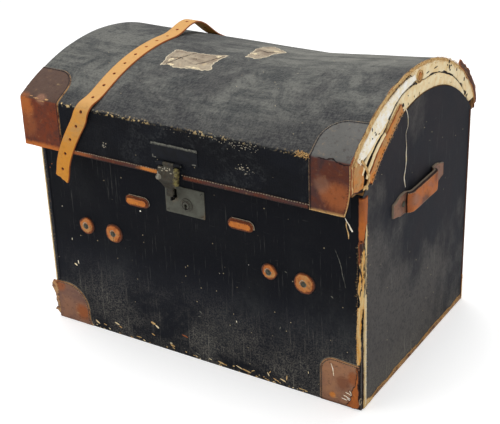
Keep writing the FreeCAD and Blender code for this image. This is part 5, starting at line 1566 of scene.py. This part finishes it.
def openFrontEdge(e):
    surface = onEdge(1, -1)
    plan = (    # piece, look, thickness, how ragged, how high it lies
        ("dark", "darkAndShade", 0.5, 0.6, 0.02), ("shade", "rust", 1, 0.8, 0),
        ("upperCream", "paleFibre", 2, 1.5, 0), ("tornTan", "fibre", 2.6, 2, 0.2),
        ("leftStrip", "fibre", 3.4, 1, 0.1), ("rightStrip", "paleFibre", 3.2, 1.1, 0.1),
        ("leather", "binding", 2.2, 1, 0.3), ("foot", "rag", 3.4, 3, 0.1),
        ("footTan", "tornSkin", 2.6, 1.8, 0.1))
    for number, (name, look, thick, rough, rest) in enumerate(plan):
        outline = torn(closed(e[name], 2.2), rough, 4, 121 + number * 3)
        outline[:, 1] = np.maximum(outline[:, 1], trunk["foot"])
        addSheet("openEdge" + name[0].upper() + name[1:], surface, outline, thick, look, "trunk",
            spacing=3, soften=1.8, rest=rest, relief=lambda p, rim: 0.5 * np.sin(p[:, 1] / 5 + p[:, 0])
            * np.sin(p[:, 1] / 17), stands=["corner_binding_front_right"] if name == "leather" else [])
    for name, u0, u1, z0, z1, look, pitch, seed in (("Beads", -7, -7.5, 228, 108, "rawThread", 6, 51),
            ("Cord", 9, 13, 250, 12, "linenThread", 3.4, 52)):
        sew("openEdge" + name, surface, straight(u0, z0, u1, z1, 90), 3.3, look, "trunk",
            (pitch, pitch * 0.85, 2.6), seed)
    for seed, u, z0, z1 in ((53, -10, 366, 108), (54, 14.5, 406, 6), (55, 7, 250, 10),
            (56, -1.5, 226, 110)):
        frayEdge("openEdgeFray%d" % seed, surface, straight(u, z0, u, z1, 120),
            (0.7, 0.1 * np.sign(u), 0, 0), "rawThread", (2.2, 5.5), seed, 1)
    cracks = [[(6, 404), (3, 370), (5, 344), (2, 310), (4, 280), (2, 250)],
        [(9, 340), (8, 300), (9.5, 262), (8, 220)], [(-1, 350), (-3, 318), (-1, 286), (-4, 258)],
        [(1, 232), (0, 200), (-1, 160)]]
    for number, line in enumerate(cracks):
        # cracks 0 and 3 are filled with painted shade
        look = "paintedBlackShade" if number in (0, 3) else "rag"
        addSheet("openEdgeCrack%d" % number, surface, ribbon(smoothLine(line, 2), 1.9, 0.9, 2,
            151 + number, 0.6), 0.5, look, "trunk", spacing=2, soften=0.3,
            rest=2.4 if number < 3 else 3.3)
    pinned = (onEdge(1, -1)(np.array([-2]), np.array([24]))[0][0] / mm)
    loop = [(pinned[0] + 2.4, pinned[1] - 4 + 4.5 * math.cos(t), pinned[2] + 7 * math.sin(t))
            for t in np.linspace(0.4, 6.1, 14)]
    addThread("footRing", loop, [0.8, 0.9, 0.8], "paleThread", "trunk")


openFrontEdge(openEdge)
print("edges bound")

# bindings along the foot of the ends, and what has crumbled off the bottom edges
footBinding = {"height": 14, "thick": 1.4, "frontGap": 21, "backGap": 7, "leftReach": 188}


def bindFeet(f):
    low = trunk["foot"]
    face = trunk["face"]
    for name, side, look, first, last in (("Left", -1, "darkBinding", -f["leftReach"], f["leftReach"]),
            ("Right", 1, "footEdge", -face + f["frontGap"], face - f["backGap"])):
        surface = flat(0, side, side * trunk["end"])
        count = int((last - first) / 3)
        along = np.linspace(first, last, count)
        rise = f["height"] - (4 + 3.5 * wander(count, 9, 131) if name == "Right" else 0.3)
        top = columns(along, low + rise + wander(count, 3, 132))
        bottom = columns(along[::-1], np.full(count, low))
        addSheet("footBinding" + name, surface, np.vstack([top, bottom]), f["thick"], look, "trunk",
            spacing=5, soften=1.2, stands=["base_bindings"] if name == "Right" else [])
        if name == "Right":
            frayEdge("footFray", surface, top, (0.5, 0, 0, 0.5), "rawThread", (2, 6), 61, 1)
            frayEdge("footLint", surface, top - [0, 5], (0.9, 0, 0, 0), "linenThread",
                (4.5, 6), 62, 1.2)


bindFeet(footBinding)
worn = torn(closed([(-26, 1), (5, 1), (5, 66), (-2, 52), (-9, 34), (-18, 20)], 2.5), 1.6, 3, 139)
addSheet("backFootWear", backEdge, worn, 2.4, "fibre", "trunk", spacing=3, soften=1.6, rest=0.1)
frayEdge("backFootFray", backEdge, straight(-20, 14, 4, 60, 60), (0.6, 0.3, 0.3, 0), "rawThread",
    (1.4, 7), 63, 1.1)
crumbs = {"count": 46, "first": -292, "last": 284, "highest": 13}


def crumble(c):    # flakes along the bottom edge of the front, where the canvas has worn through
    pick = rng(141)
    for number in range(c["count"]):
        x = pick.uniform(c["first"], c["last"])
        z = 2.2 + (c["highest"] - 4) * pick.uniform(0, 1) ** 2.5
        wide, tall = pick.uniform(0.9, 3.8), pick.uniform(0.4, 1.3)
        outline = blob(x, z, wide, tall, 14, 0.4, 142 + number, pick.uniform(-0.5, 0.3))
        outline[:, 1] = np.maximum(outline[:, 1], trunk["foot"])
        addSheet("frontCrumb%d" % number, onFront, outline, 0.5,
            pick.choice(["card", "tornSkin", "raw"]), "trunk", spacing=2, soften=0.5, rest=0.02)


crumble(crumbs)
# chips and specks on the front: (x, z, half width, half height, tilt, look)
chips = [
    (-319, 148, 5, 2.2, -0.5, "card"), (-311, 156, 1.3, 5.5, 0.1, "linen"),
    (-129, 321, 2.2, 2, 0, "linen"), (-322, 210, 1, 3.5, 0, "linen"),
    (-340, 285, 1.2, 1.1, 0, "linen"), (-356, 381, 2.4, 1.2, 0.5, "strip"),
    (-362, 372, 1.2, 2.6, 0.3, "strip"), (60, 225, 0.8, 0.8, 0, "linen"),
    (130, 262, 1, 1, 0, "linen"), (215, 268, 3.2, 1, -0.5, "wornPaint"),
    (-273, 15, 7, 2.4, -0.5, "card"), (-252, 14, 5, 1.4, -0.3, "tornSkin"),
    (-218, 26, 7.5, 2.2, -0.3, "card"), (-209, 20, 5, 1.8, -0.4, "tornSkin"),
    (-118, 56, 7, 3.6, -0.3, "raw"), (-108, 50, 6, 2.6, -0.6, "card"),
    (-120, 27, 5, 1.6, -0.4, "tornSkin"), (-36, 48, 9, 1.8, -0.2, "patchPlain"),
    (-70, 14, 6.5, 2.8, -0.2, "tornSkin"), (-74, 19, 3.6, 1.6, 0.2, "card"),
    (8, 119, 1.4, 5, 0.9, "wornPaint"), (4, 108, 4, 1, 0.3, "wornPaint"),
    (-5, 13, 8, 1.3, -0.3, "wornPaint"), (55, 9, 11, 2, -0.2, "raw"),
    (98, 12, 9, 1.4, -0.3, "card"), (116, 9, 12, 2, -0.15, "raw"),
    (131, 14, 5, 1.2, 0.5, "tornSkin"), (168, 18, 1.4, 6, 0.5, "card"),
    (172, 24, 1.2, 5, -0.5, "raw"), (186, 10, 8, 1.4, -0.3, "tornSkin"),
    (203, 14, 8, 1.8, -0.3, "card"), (212, 23, 1.5, 8, -0.1, "raw"),
    (250, 7, 9, 1.2, 0, "tornSkin"), (-160, 9, 8, 1.4, 0, "tornSkin"),
    (199, 137, 1, 4, -0.4, "wornPaint"), (96, 122, 1.2, 3, 0.2, "linen"),
    (316, 240, 1, 4, 0.8, "wornPaint"), (262, 52, 1, 3, 0.1, "card")]
for number, (x, z, wide, high, tilt, look) in enumerate(chips):
    outline = blob(x, z, wide * 0.9, high * 0.8, 16, 0.35, 191 + number, tilt)
    addSheet("frontChip%d" % number, onFront, outline, 0.45, look, "trunk", spacing=2, soften=0.5,
        rest=0.02)
curved = smoothLine([(322, 345), (333, 318), (338, 296), (345, 268)], 1.5)
addSheet("frontScratch", onFront, ribbon(curved, 1, 0.5, 2, 220, 0.8), 0.25, "wornPaint", "trunk",
    spacing=1.5, soften=0.3, rest=0.02)
# the front left corner's leather stands off the edge and is torn there
flap = [(-377, 8), (-377, 94), (-389, 93), (-394, 84), (-395, 76), (-391, 66), (-387, 60), (-386, 50),
    (-387, 42), (-384, 34), (-384, 26), (-390, 20), (-393, 13), (-386, 16), (-381, 10)]
addSheet("cornerFlap", flat(1, -1, -trunk["face"] - 0.6), torn(closed(flap, 2), 0.9, 2, 229), 2.2,
    "patchLeft", "trunk", spacing=3, soften=1.2, relief=lambda p, rim: 0.5 * np.sin(p[:, 1] / 4))
scratches = [((-25, 40), (-16, 22)), ((-34, 34), (-20, 30)), ((-38, 26), (-22, 20)),
    ((-30, 20), (-18, 14)), ((-66, 92), (-60, 64)), ((-42, 18), (-30, 16))]
for number, (a, b) in enumerate(scratches):
    path = smoothLine([a, ((a[0] + b[0]) / 2 + 1.5, (a[1] + b[1]) / 2), b], 1.5)
    addSheet("cornerScratch%d" % number, onEdge(1, -1), ribbon(path, 1.8, 0.4, 2, 221 + number, 0.7),
        0.4, "linen", "trunk", spacing=1.2, soften=0.3, rest=1.85)
hairs = [[(-381, -249, 206), (-389, -252, 190), (-397, -250, 163), (-408, -249, 160)],
         [(-381, -250, 178), (-385, -252, 150), (-387, -252, 132)],
         [(-381, -249, 345), (-386, -251, 332), (-393, -250, 318)],
         [(-381, -249, 262), (-388, -251, 240), (-390, -251, 222), (-386, -251, 204)]]
for number, hair in enumerate(hairs):
    addThread("looseHair%d" % number, hair, [0.22, 0.2, 0.12], "greyThread", "trunk", 5)
print("wear laid on the front")

# leather washers with their rivets, and stitched tabs, on the front
washers = {"places": [(-275, 254), (-203, 252), (178, 260), (256, 254)],
    "radii": [19.5, 21.5, 17.5, 23], "rivet": 6.3, "lowThick": 2.3, "highThick": 2.5, "highShare": 0.84}


def pinWasher(number, x, z, w):
    radius = w["radii"][number]
    lower = torn(ring(x, z, radius, 60), 1.2, 5, 231 + number)
    upper = torn(ring(x + 1.2 - number % 2, z + 1.4, radius * w["highShare"], 56), 2.4, 5, 241 + number)
    halo = ring(x - 0.8, z + 0.8, w["rivet"] + 1.5, 30)
    addSheet("washerHalo%d" % number, onFront, torn(halo, 0.5, 4, 251 + number), 0.5, "paleSpeckAndGlint", "trunk",
        [ring(x - 0.5, z + 0.5, w["rivet"] + 0.4, 26)], 2, 0.3,
        rest=w["lowThick"] + w["highThick"] - 0.2)
    hole = ring(x, z, w["rivet"] * 0.8, 20)
    addSheet("washerLow%d" % number, onFront, lower, w["lowThick"], "washerDark", "trunk", [hole], 3,
        1.2, stands=["leather_washers"] if number == 0 else [])
    addSheet("washerHigh%d" % number, onFront, upper, w["highThick"], "washer", "trunk", [hole], 2.5,
        1.3, rest=w["lowThick"], relief=lumps(0.35, 4.3, 3.7, (x, z)))
    top = trunk["face"] + w["lowThick"] + w["highThick"]
    r = w["rivet"]
    addTurned("washerRivet%d" % number, (x, -top + 3, z), (0, -1, 0),
        [(r * 0.78, 0), (r * 0.9, 2.2), (r, 3.1), (r * 0.96, 3.8), (r * 0.72, 4.3), (r * 0.6, 3.6),
        (r * 0.42, 3.3), (r * 0.36, 4.2), (r * 0.2, 4.6), (0.2, 4.7)], "rivet", "trunk",
        ["washer_rivets"] if number == 0 else [])
    if number == 1:    # this one has split, with painted shade in the split
        addSheet("washerSplit", onFront, ribbon(smoothLine([(x - 1, z - 6), (x + 1, z - 11),
            (x, z - 16.5)], 1.2), 0.9, 0.2, 2, 251), 0.3, "darkAndShade", "trunk", spacing=1, soften=0.2,
            rest=4.7)


for number, (x, z) in enumerate(washers["places"]):
    pinWasher(number, x, z, washers)

tabs = {"places": [(-134, 342), (116, 347)], "length": 60, "height": 24, "border": 4.2}


def sewTab(number, x, z, t):
    shape = torn(stadium(x, z, t["length"], t["height"], 2.2), 0.8, 5, 261 + number)
    addSheet("tabLow%d" % number, onFront, shape, 2.2, "washerDark", "trunk", spacing=3, soften=1.1,
        stands=["stitched_tabs"] if number == 0 else [])
    inner = torn(stadium(x - 0.8, z - 0.6, t["length"] - t["border"] * 1.5,
        t["height"] - t["border"] * 1.5, 2.2), 0.7, 5, 263 + number)
    addSheet("tabHigh%d" % number, onFront, inner, 2.6, "tab", "trunk", spacing=2.5, soften=1.4,
        rest=2.2, relief=lumps(0.5, 3.1, 2.6, (x, z)))
    sewn = stadium(x - 0.8, z - 0.6, t["length"] - t["border"] * 2.6,
        t["height"] - t["border"] * 2.6, 1.5)
    sew("tabStitches%d" % number, onFront, np.vstack([sewn, sewn[:1]]), 4.7, "darkThread", "trunk",
        (4.3, 2.6, 1.1), 71)
    rim = stadium(x, z, t["length"] + 1.5, t["height"] + 1.5, 1.5)
    upper = rim[(rim[:, 1] > z - 4) & (rim[:, 0] > x - t["length"] * 0.33)]
    upper = upper[np.argsort(np.arctan2(upper[:, 1] - z, upper[:, 0] - x))]
    sew("tabCord%d" % number, onFront, upper, 1.6, "paleThread", "trunk", (2.4, 3, 1.5), 72)


for number, (x, z) in enumerate(tabs["places"]):
    sewTab(number, x, z, tabs)
print("washers and tabs fixed")

# a leather handle on each end: a strap that stands off between its feet, with a thick grip
handle = {"y": -12, "z": 382, "width": 46, "reach": 121, "foot": 56, "ramp": 8,
          "standoff": 10, "thick": 3.9, "grip": 5.8, "pointIn": 34, "pointHalf": 15,
          "rivet": 6.3, "rivetIn": 46}


def handleLine(h):    # its way along the end, as (y, distance from the end)
    foot = h["reach"] - h["foot"]
    mid = foot - h["ramp"]
    corners = [(-h["reach"], 0), (-foot, 0), (-mid, h["standoff"]), (mid, h["standoff"]), (foot, 0),
        (h["reach"], 0)]
    return softened(evenly(np.array(corners, float), 1), 5)


handlePath = handleLine(handle)


def onHandle(side):
    def surface(u, v):
        (y, x), (dy, dx) = (rows.T for rows in placesOn(handlePath, u + (len(handlePath) - 1) / 2))
        size = np.hypot(dy, dx)
        points = columns(side * (trunk["end"] + x + 0.05), handle["y"] + y, handle["z"] + v)
        return points * mm, columns(side * dy / size, -dx / size, 0 * y)
    return surface


def fitHandle(name, side, h):
    surface = onHandle(side)
    half, wide = (len(handlePath) - 1) / 2 - 1, h["width"] / 2
    tip = [(half, -h["pointHalf"] + 2), (half + 0.5, 0), (half, h["pointHalf"] - 1),
        (half - h["pointIn"] * 0.45, wide - 6), (half - h["pointIn"], wide)]
    outline = np.array(tip + [(-x, z) for x, z in tip[::-1]]
                       + [(-x, -z) for x, z in tip] + [(x, -z) for x, z in tip[::-1]])
    outline = torn(closed(outline, 2.5), 0.6, 6, 271 + side)
    hole = [ring(sign * (half - h["rivetIn"] + 1), 0, h["rivet"] * 0.6, 18) for sign in (-1, 1)]
    free = np.vstack([outline, outline[:1]])

    def relief(points, rim):
        return 0.35 * np.exp(-((rim - 1) / 0.8) ** 2) - 0.5 * np.exp(-((rim - 3.4) / 0.9) ** 2)
    addSheet("handleStrap" + name, surface, outline, h["thick"], "handle", "trunk", hole, 3.5, 1.4,
        relief=relief, seam=free, stands=["handle_strap_" + name.lower()])
    gripHalf = h["reach"] - h["foot"] - h["ramp"] + 9
    grip = torn(closed([(-gripHalf, -wide + 0.5), (gripHalf, -wide + 0.5), (gripHalf + 2, 0),
        (gripHalf, wide - 0.5), (-gripHalf, wide - 0.5), (-gripHalf - 2, 0)], 2.5), 0.7, 6, 275 + side)
    addSheet("handleGrip" + name, surface, grip, h["grip"] - 0.5, "grip", "trunk", spacing=3,
        soften=3.6, rest=h["thick"] - 0.2, relief=lumps(0.3, 5.2, 6.1),
        stands=["handle_grip_" + name.lower()])
    for sign, seed in ((-1, 81), (1, 82)):
        run = straight(-half + 20, sign * (wide - 3.4), half - 20, sign * (wide - 3.4), 140)
        run = run[np.abs(run[:, 0]) > gripHalf + 3]
        for part, chosen in (("Front", run[run[:, 0] < 0]), ("Back", run[run[:, 0] > 0])):
            sew("handleStitches%s%s%d" % (name, part, seed), surface, chosen, h["thick"] - 0.3,
                "darkThread", "trunk", (4.4, 2.8, 1), seed)
        edge = straight(-gripHalf + 3, sign * (wide - 3), gripHalf - 3, sign * (wide - 3), 90)
        sew("gripStitches%s%d" % (name, seed), surface, edge, h["thick"] + h["grip"] - 1.3,
            "paleThread", "trunk", (5, 3, 1.3), seed + 2)
    top = half - h["rivetIn"] + 1
    r = h["rivet"]
    for sign in (-1, 1):
        place, out = surface(np.array([sign * top]), np.array([0]))
        centre = place[0] / mm + out[0] * (h["thick"] - 2)
        addTurned("handleRivet%s%d" % (name, sign), centre, out[0],
            [(r * 0.6, 0), (r * 0.9, 1.9), (r, 2.6), (r * 0.9, 3.6), (r * 0.6, 4.2), (0.2, 4.4)],
            "rivet", "trunk", ["handle_rivets"] if sign > 0 and side > 0 else [])


fitHandle("Right", 1, handle)
fitHandle("Left", -1, handle)
print("handles fitted")

# lock plate, keyhole boss and screws
lock = {"x": -14, "z": 368.5, "width": 94, "height": 61, "thick": 1.75, "slotX": -36,
        "slotZ": 382, "slotWidth": 6.8, "slotHeight": 20, "slotDepth": 11.4, "keyX": -10, "keyZ": 362,
        "keyRadius": 2.6, "keyDrop": 8.4, "boss": 14, "bossRise": 4.2, "screwIn": 6, "screw": 3.4}


def keyhole(k, grow=0):
    r, slim = k["keyRadius"] + grow, k["keyRadius"] / 2 + grow
    x, z = k["keyX"], k["keyZ"]
    start = math.degrees(math.asin(slim / r))
    return np.array([(x + slim, z - k["keyDrop"]), *arc(x, z, r, r, -90 + start, 270 - start, 18),
        (x - slim, z - k["keyDrop"])])


def fitLock(k):
    x, z, wide, tall = k["x"], k["z"], k["width"] / 2, k["height"] / 2
    plate = closed([(x - wide, z - tall), (x + wide, z - tall), (x + wide, z + tall),
        (x - wide, z + tall)], 3)
    plate = torn(plate, 0.3, 4, 281)
    across, up = k["slotWidth"] / 2, k["slotHeight"] / 2
    slot = closed([(k["slotX"] + a * across, k["slotZ"] + b * up)
                   for a, b in ((-1, -1), (1, -1), (1, 1), (-1, 1))], 0.8)
    holes = [(x + sx * (wide - k["screwIn"]), z + sz * (tall - k["screwIn"]))
             for sx in (-1, 1) for sz in (-1, 1)]
    # black sheets in the slot and the keyhole: painted shade
    for name, hole, thick, rest in (("slot", slot, 0.3, -k["slotDepth"]),
            ("key", keyhole(k, 0.3), 1.6, 0.1)):
        addSheet(name + "Dark", onFront, hole, thick, "paintedBlackShade", "trunk", spacing=2, soften=0.2, rest=rest)
    # two dark rings round the boss, at its foot and in its groove: painted shade
    for number, share in enumerate((0.97, 0.60)):
        outer, inner = (ring(k["keyX"], k["keyZ"], k["boss"] * share + reach, 60)
                        for reach in (0.7, -0.7))
        addSheet("bossLine%d" % number, onFront, outer, 0.4, "darkAndShade", "trunk", [inner], 2, 0.3,
            rest=k["thick"] + (0.5, k["bossRise"] - 0.9)[number])
    cut = [slot, keyhole(k, 0.5)] + [ring(a, b, 1.9, 14) for a, b in holes]
    addSheet("lockPlate", onFront, plate, k["thick"], "plate", "trunk", cut, 3.5, 0.7,
        relief=lumps(0.12, 9, 7), stands=["lock_plate"])

    def stepped(points, rim):    # raised rings round the keyhole
        away = np.hypot(points[:, 0] - k["keyX"], points[:, 1] - k["keyZ"])
        rise = np.clip(k["boss"] * 0.82 - away, 0, 1) * (k["bossRise"] - 1.6)
        rise -= 1.1 * np.exp(-((away - k["boss"] * 0.60) / 0.9) ** 2)
        return rise + 0.5 * np.exp(-(away - k["boss"] * 0.40) ** 2)
    addSheet("keyholeBoss", onFront, ring(k["keyX"], k["keyZ"], k["boss"], 72), 1.5, "plate", "trunk",
        [keyhole(k)], 1.6, 0.9, rest=k["thick"], relief=stepped, stands=["keyhole_boss"])
    for number, (a, b) in enumerate(holes):
        seat = -trunk["face"] - k["thick"] + 0.2
        r = k["screw"]
        addTurned("lockScrew%d" % number, (a, seat, b), (0, -1, 0),
            [(1.5, -1), (r, 0), (r, 0.5), (r * 0.7, 1.1), (0.2, 1.3)], "plate", "trunk",
            ["lock_screws"] if number == 0 else [], 20)
        # painted shade in each screw's slot
        slit = ribbon(np.array([(a - r * 0.75, b - 0.6 * number), (a, b),
            (a + r * 0.75, b + 0.6 * number)]), 0.8, 0.05, 2, 290)
        addSheet("screwSlit%d" % number, onFront, closed(slit, 0.7), 0.2, "darkAndShade", "trunk",
            spacing=0.8, soften=0.2, rest=k["thick"] + 1.15)


fitLock(lock)
print("lock fitted")

# the hasp, hung a little forward of the lock, with its barrel and the plate that it hangs from
hasp = {"x": -11, "axisY": -302.5, "axisZ": 470, "swing": 9, "thick": 2.5, "knuckle": 3.6,
        "neck": 12.6, "top": 464, "bend": 438, "tip": 405, "foot": 386, "back": -301.2,
        "tipBack": -253.6, "slotX": -36, "knobLeft": 21, "knobZ": 442, "barrelRight": 22,
        "barrelFoot": 432, "barrel": 6.2, "barrelLength": 34, "plateHalf": 54, "plateHigh": 509}


def hang(y, z):    # from pressed home to where it hangs
    h = hasp
    turn = math.radians(-h["swing"])
    dy, dz = y - h["axisY"], z - h["axisZ"]
    return (h["axisY"] + dy * math.cos(turn) - dz * math.sin(turn),
        h["axisZ"] + dy * math.sin(turn) + dz * math.cos(turn))


def haspLine(h):
    corners = [(h["back"], h["axisZ"] - 1), (h["back"], h["bend"]), (h["tipBack"], h["tip"]),
        (h["tipBack"], h["foot"])]
    return np.array([hang(y, z) for y, z in softened(evenly(np.array(corners, float), 1), 3)])


haspPath = haspLine(hasp)


def onHasp(u, v):    # u across, v down from its top
    (y, z), (dy, dz) = (rows.T for rows in placesOn(haspPath, v))
    size = np.hypot(dy, dz)
    return columns(u, y, z) * mm, columns(0 * y, dz / size, -dy / size)


def forgeHasp(h):
    x, last = h["x"], len(haspPath) - 1.2
    bend = h["axisZ"] - h["bend"]
    outline = [(x - 24, 5.5), (x + 15.5, 5.5), (x + 16, bend), (x + 2, bend + 24),
        (h["slotX"] + 6, last - 22), (h["slotX"] + 5, last - 3), (h["slotX"] + 3, last),
        (h["slotX"] - 8, last), (h["slotX"] - 11, last - 3), (h["slotX"] - 11.5, last - 26),
        (x - 31, bend + 22), (x - 28, bend), (x - 25, 12)]
    outline = torn(closed(outline, 2.2), 0.4, 4, 301)
    addSheet("haspPlate", onHasp, outline, h["thick"], "worn", "hasp", spacing=2.6, soften=1,
        relief=lumps(0.25, 4, 5), stands=["hasp"])
    neck = closed([(x - 12.4, 0.8), (x + 12.4, 0.8), (x + 12.4, 7), (x - 12.4, 7)], 2)
    addSheet("haspNeck", onHasp, neck, h["thick"], "worn", "hasp", spacing=2.5, soften=0.8)
    r = h["knuckle"]
    addTurned("haspKnuckle", (x - h["neck"], h["axisY"], h["axisZ"]), (1, 0, 0),
        [(r - 0.7, 0), (r, 0.7), (r, 8), (r - 0.35, 8.6), (r, 9.2), (r, 16), (r - 0.35, 16.6),
        (r, 17.2), (r, 2 * h["neck"] - 0.7), (r - 0.7, 2 * h["neck"])], "worn", "hasp", (), 24)
    y, z = hang(h["back"] - h["thick"] + 0.6, h["knobZ"])
    turn = math.radians(h["swing"])
    addTurned("haspKnob", (x - h["knobLeft"], y, z), (0, -math.cos(turn), -math.sin(turn)),
        [(6.2, 0), (6, 1.4), (4.6, 2.2), (4.9, 4), (4.2, 5.6), (2.4, 6.7), (0.2, 7)], "gleam", "hasp")
    barrelY, barrelZ = hang(h["back"] - h["barrel"], h["barrelFoot"])
    b = h["barrel"]
    turned = [(b - 1.4, 0), (b - 0.5, 0.6)]
    for rise in range(1, 34, 8):
        turned += [(b, rise + 0.8), (b, rise + 5.4), (b - 1.1, rise + 6), (b - 1.1, rise + 7)]
    turned = [point for point in turned if point[1] < h["barrelLength"] - 1.2]
    turned += [(b - 0.3, h["barrelLength"] - 1), (b - 2.2, h["barrelLength"])]
    addTurned("haspBarrel", (x + h["barrelRight"], barrelY, barrelZ),
        (0, math.sin(turn), math.cos(turn)), turned, "brass", "hasp", ["hasp_barrel"])


forgeHasp(hasp)
# painted highlights near the hasp's top, and pale specks on the skirt beside it
glints = [(-20, 9, 4.2, 1.2), (-8, 8, 1.4, 3), (-3, 12, 3.6, 1.1), (4, 9, 1.2, 2.6), (7, 16, 2.4, 1),
    (-14, 14, 1.6, 1), (-24, 20, 1.2, 3), (-1, 7, 1.8, 0.8), (-12, 10, 1, 1.6)]
addFlakes("haspGlints", onHasp, [(hasp["x"] + u, *rest) for u, *rest in glints], "paleSpeckAndGlint", "hasp", 341,
    hasp["thick"] + 0.1)
specks = np.vstack([scatter(351, 26, (158, -54), (18, 9), (2, 0.9)),
    scatter(352, 60, (142, -8), (80, 9), (1.3, 0.8)), scatter(353, 7, (-168, -70), (8, 10), (2.6, 1.6)),
    scatter(354, 14, (40, -6), (60, 6), (1.2, 0.8))])
addFlakes("skirtSpecks", onLid, specks[specks[:, 1] < -1.5], "paleSpeckAndGlint", "lid", 355)


def wearPlate(h):    # the plate's black paint is worn along its upper edge and at its corners
    wide, y = h["plateHalf"], lid["front"] - 1.6
    surface = flat(1, -1, y)
    path = straight(-wide + 0.5, h["plateHigh"] - 2, wide - 0.5, h["plateHigh"] - 2, 90)
    path[:, 1] += 0.4 * wander(90, 6, 311)
    addSheet("plateWornEdge", surface, ribbon(path, 3.6, 0.7, 2, 312), 0.25, "wornPaint", "lid",
        spacing=2, soften=0.3, rest=0.01)
    sew("plateTeeth", surface, path - [0, 2.4], 0.2, "wornPaint", "lid", (3.3, 1.7, 2.2), 91)
    worn = [(-47, 477.5, 4.6, 1.5), (46, 478, 5, 1.7), (-50, 480, 1.6, 3)]
    addMarks("plateWorn", surface, worn, 0.2, "wornPaint", "lid", 20, 0.4, 313, 0.01, 1.6)


wearPlate(hasp)
print("hasp forged")

# leather along the lower edge of the front skirt, in two runs that stop short of the hasp
edging = {"height": 11, "thick": 2, "from": -279, "gapLeft": -39, "gapRight": 17, "to": 294}


def edgeLid(e):
    low = lid["foot"] - lid["frontCrease"]
    for number, (first, last) in enumerate(((e["from"], e["gapLeft"]), (e["gapRight"], e["to"]))):
        count = int((last - first) / 3)
        along = np.linspace(first, last, count)
        top = columns(along, low + e["height"] + 0.5 * wander(count, 4, 321 + number))
        foot = columns(along[::-1], np.full(count, low))
        addSheet("lidEdging%d" % number, onLid, np.vstack([top, foot]), e["thick"], "edging", "lid",
            spacing=3.5, soften=1.2, stands=["lid_edge_binding"] if number == 0 else [],
            relief=lambda p, rim: 0.25 * np.sin(p[:, 0] / 11))
        sew("lidEdgingStitches%d" % number, onLid, top - [0, 1.2], e["thick"], "paleThread", "lid",
            (5.8, 4.2, 1.7), 101 + number)
        sew("lidEdgingCord%d" % number, onLid, foot + [0, 2.2], e["thick"], "darkThread", "lid",
            (5.8, 3, 1.1), 103 + number)


edgeLid(edging)
print("edging sewn")

low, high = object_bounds()
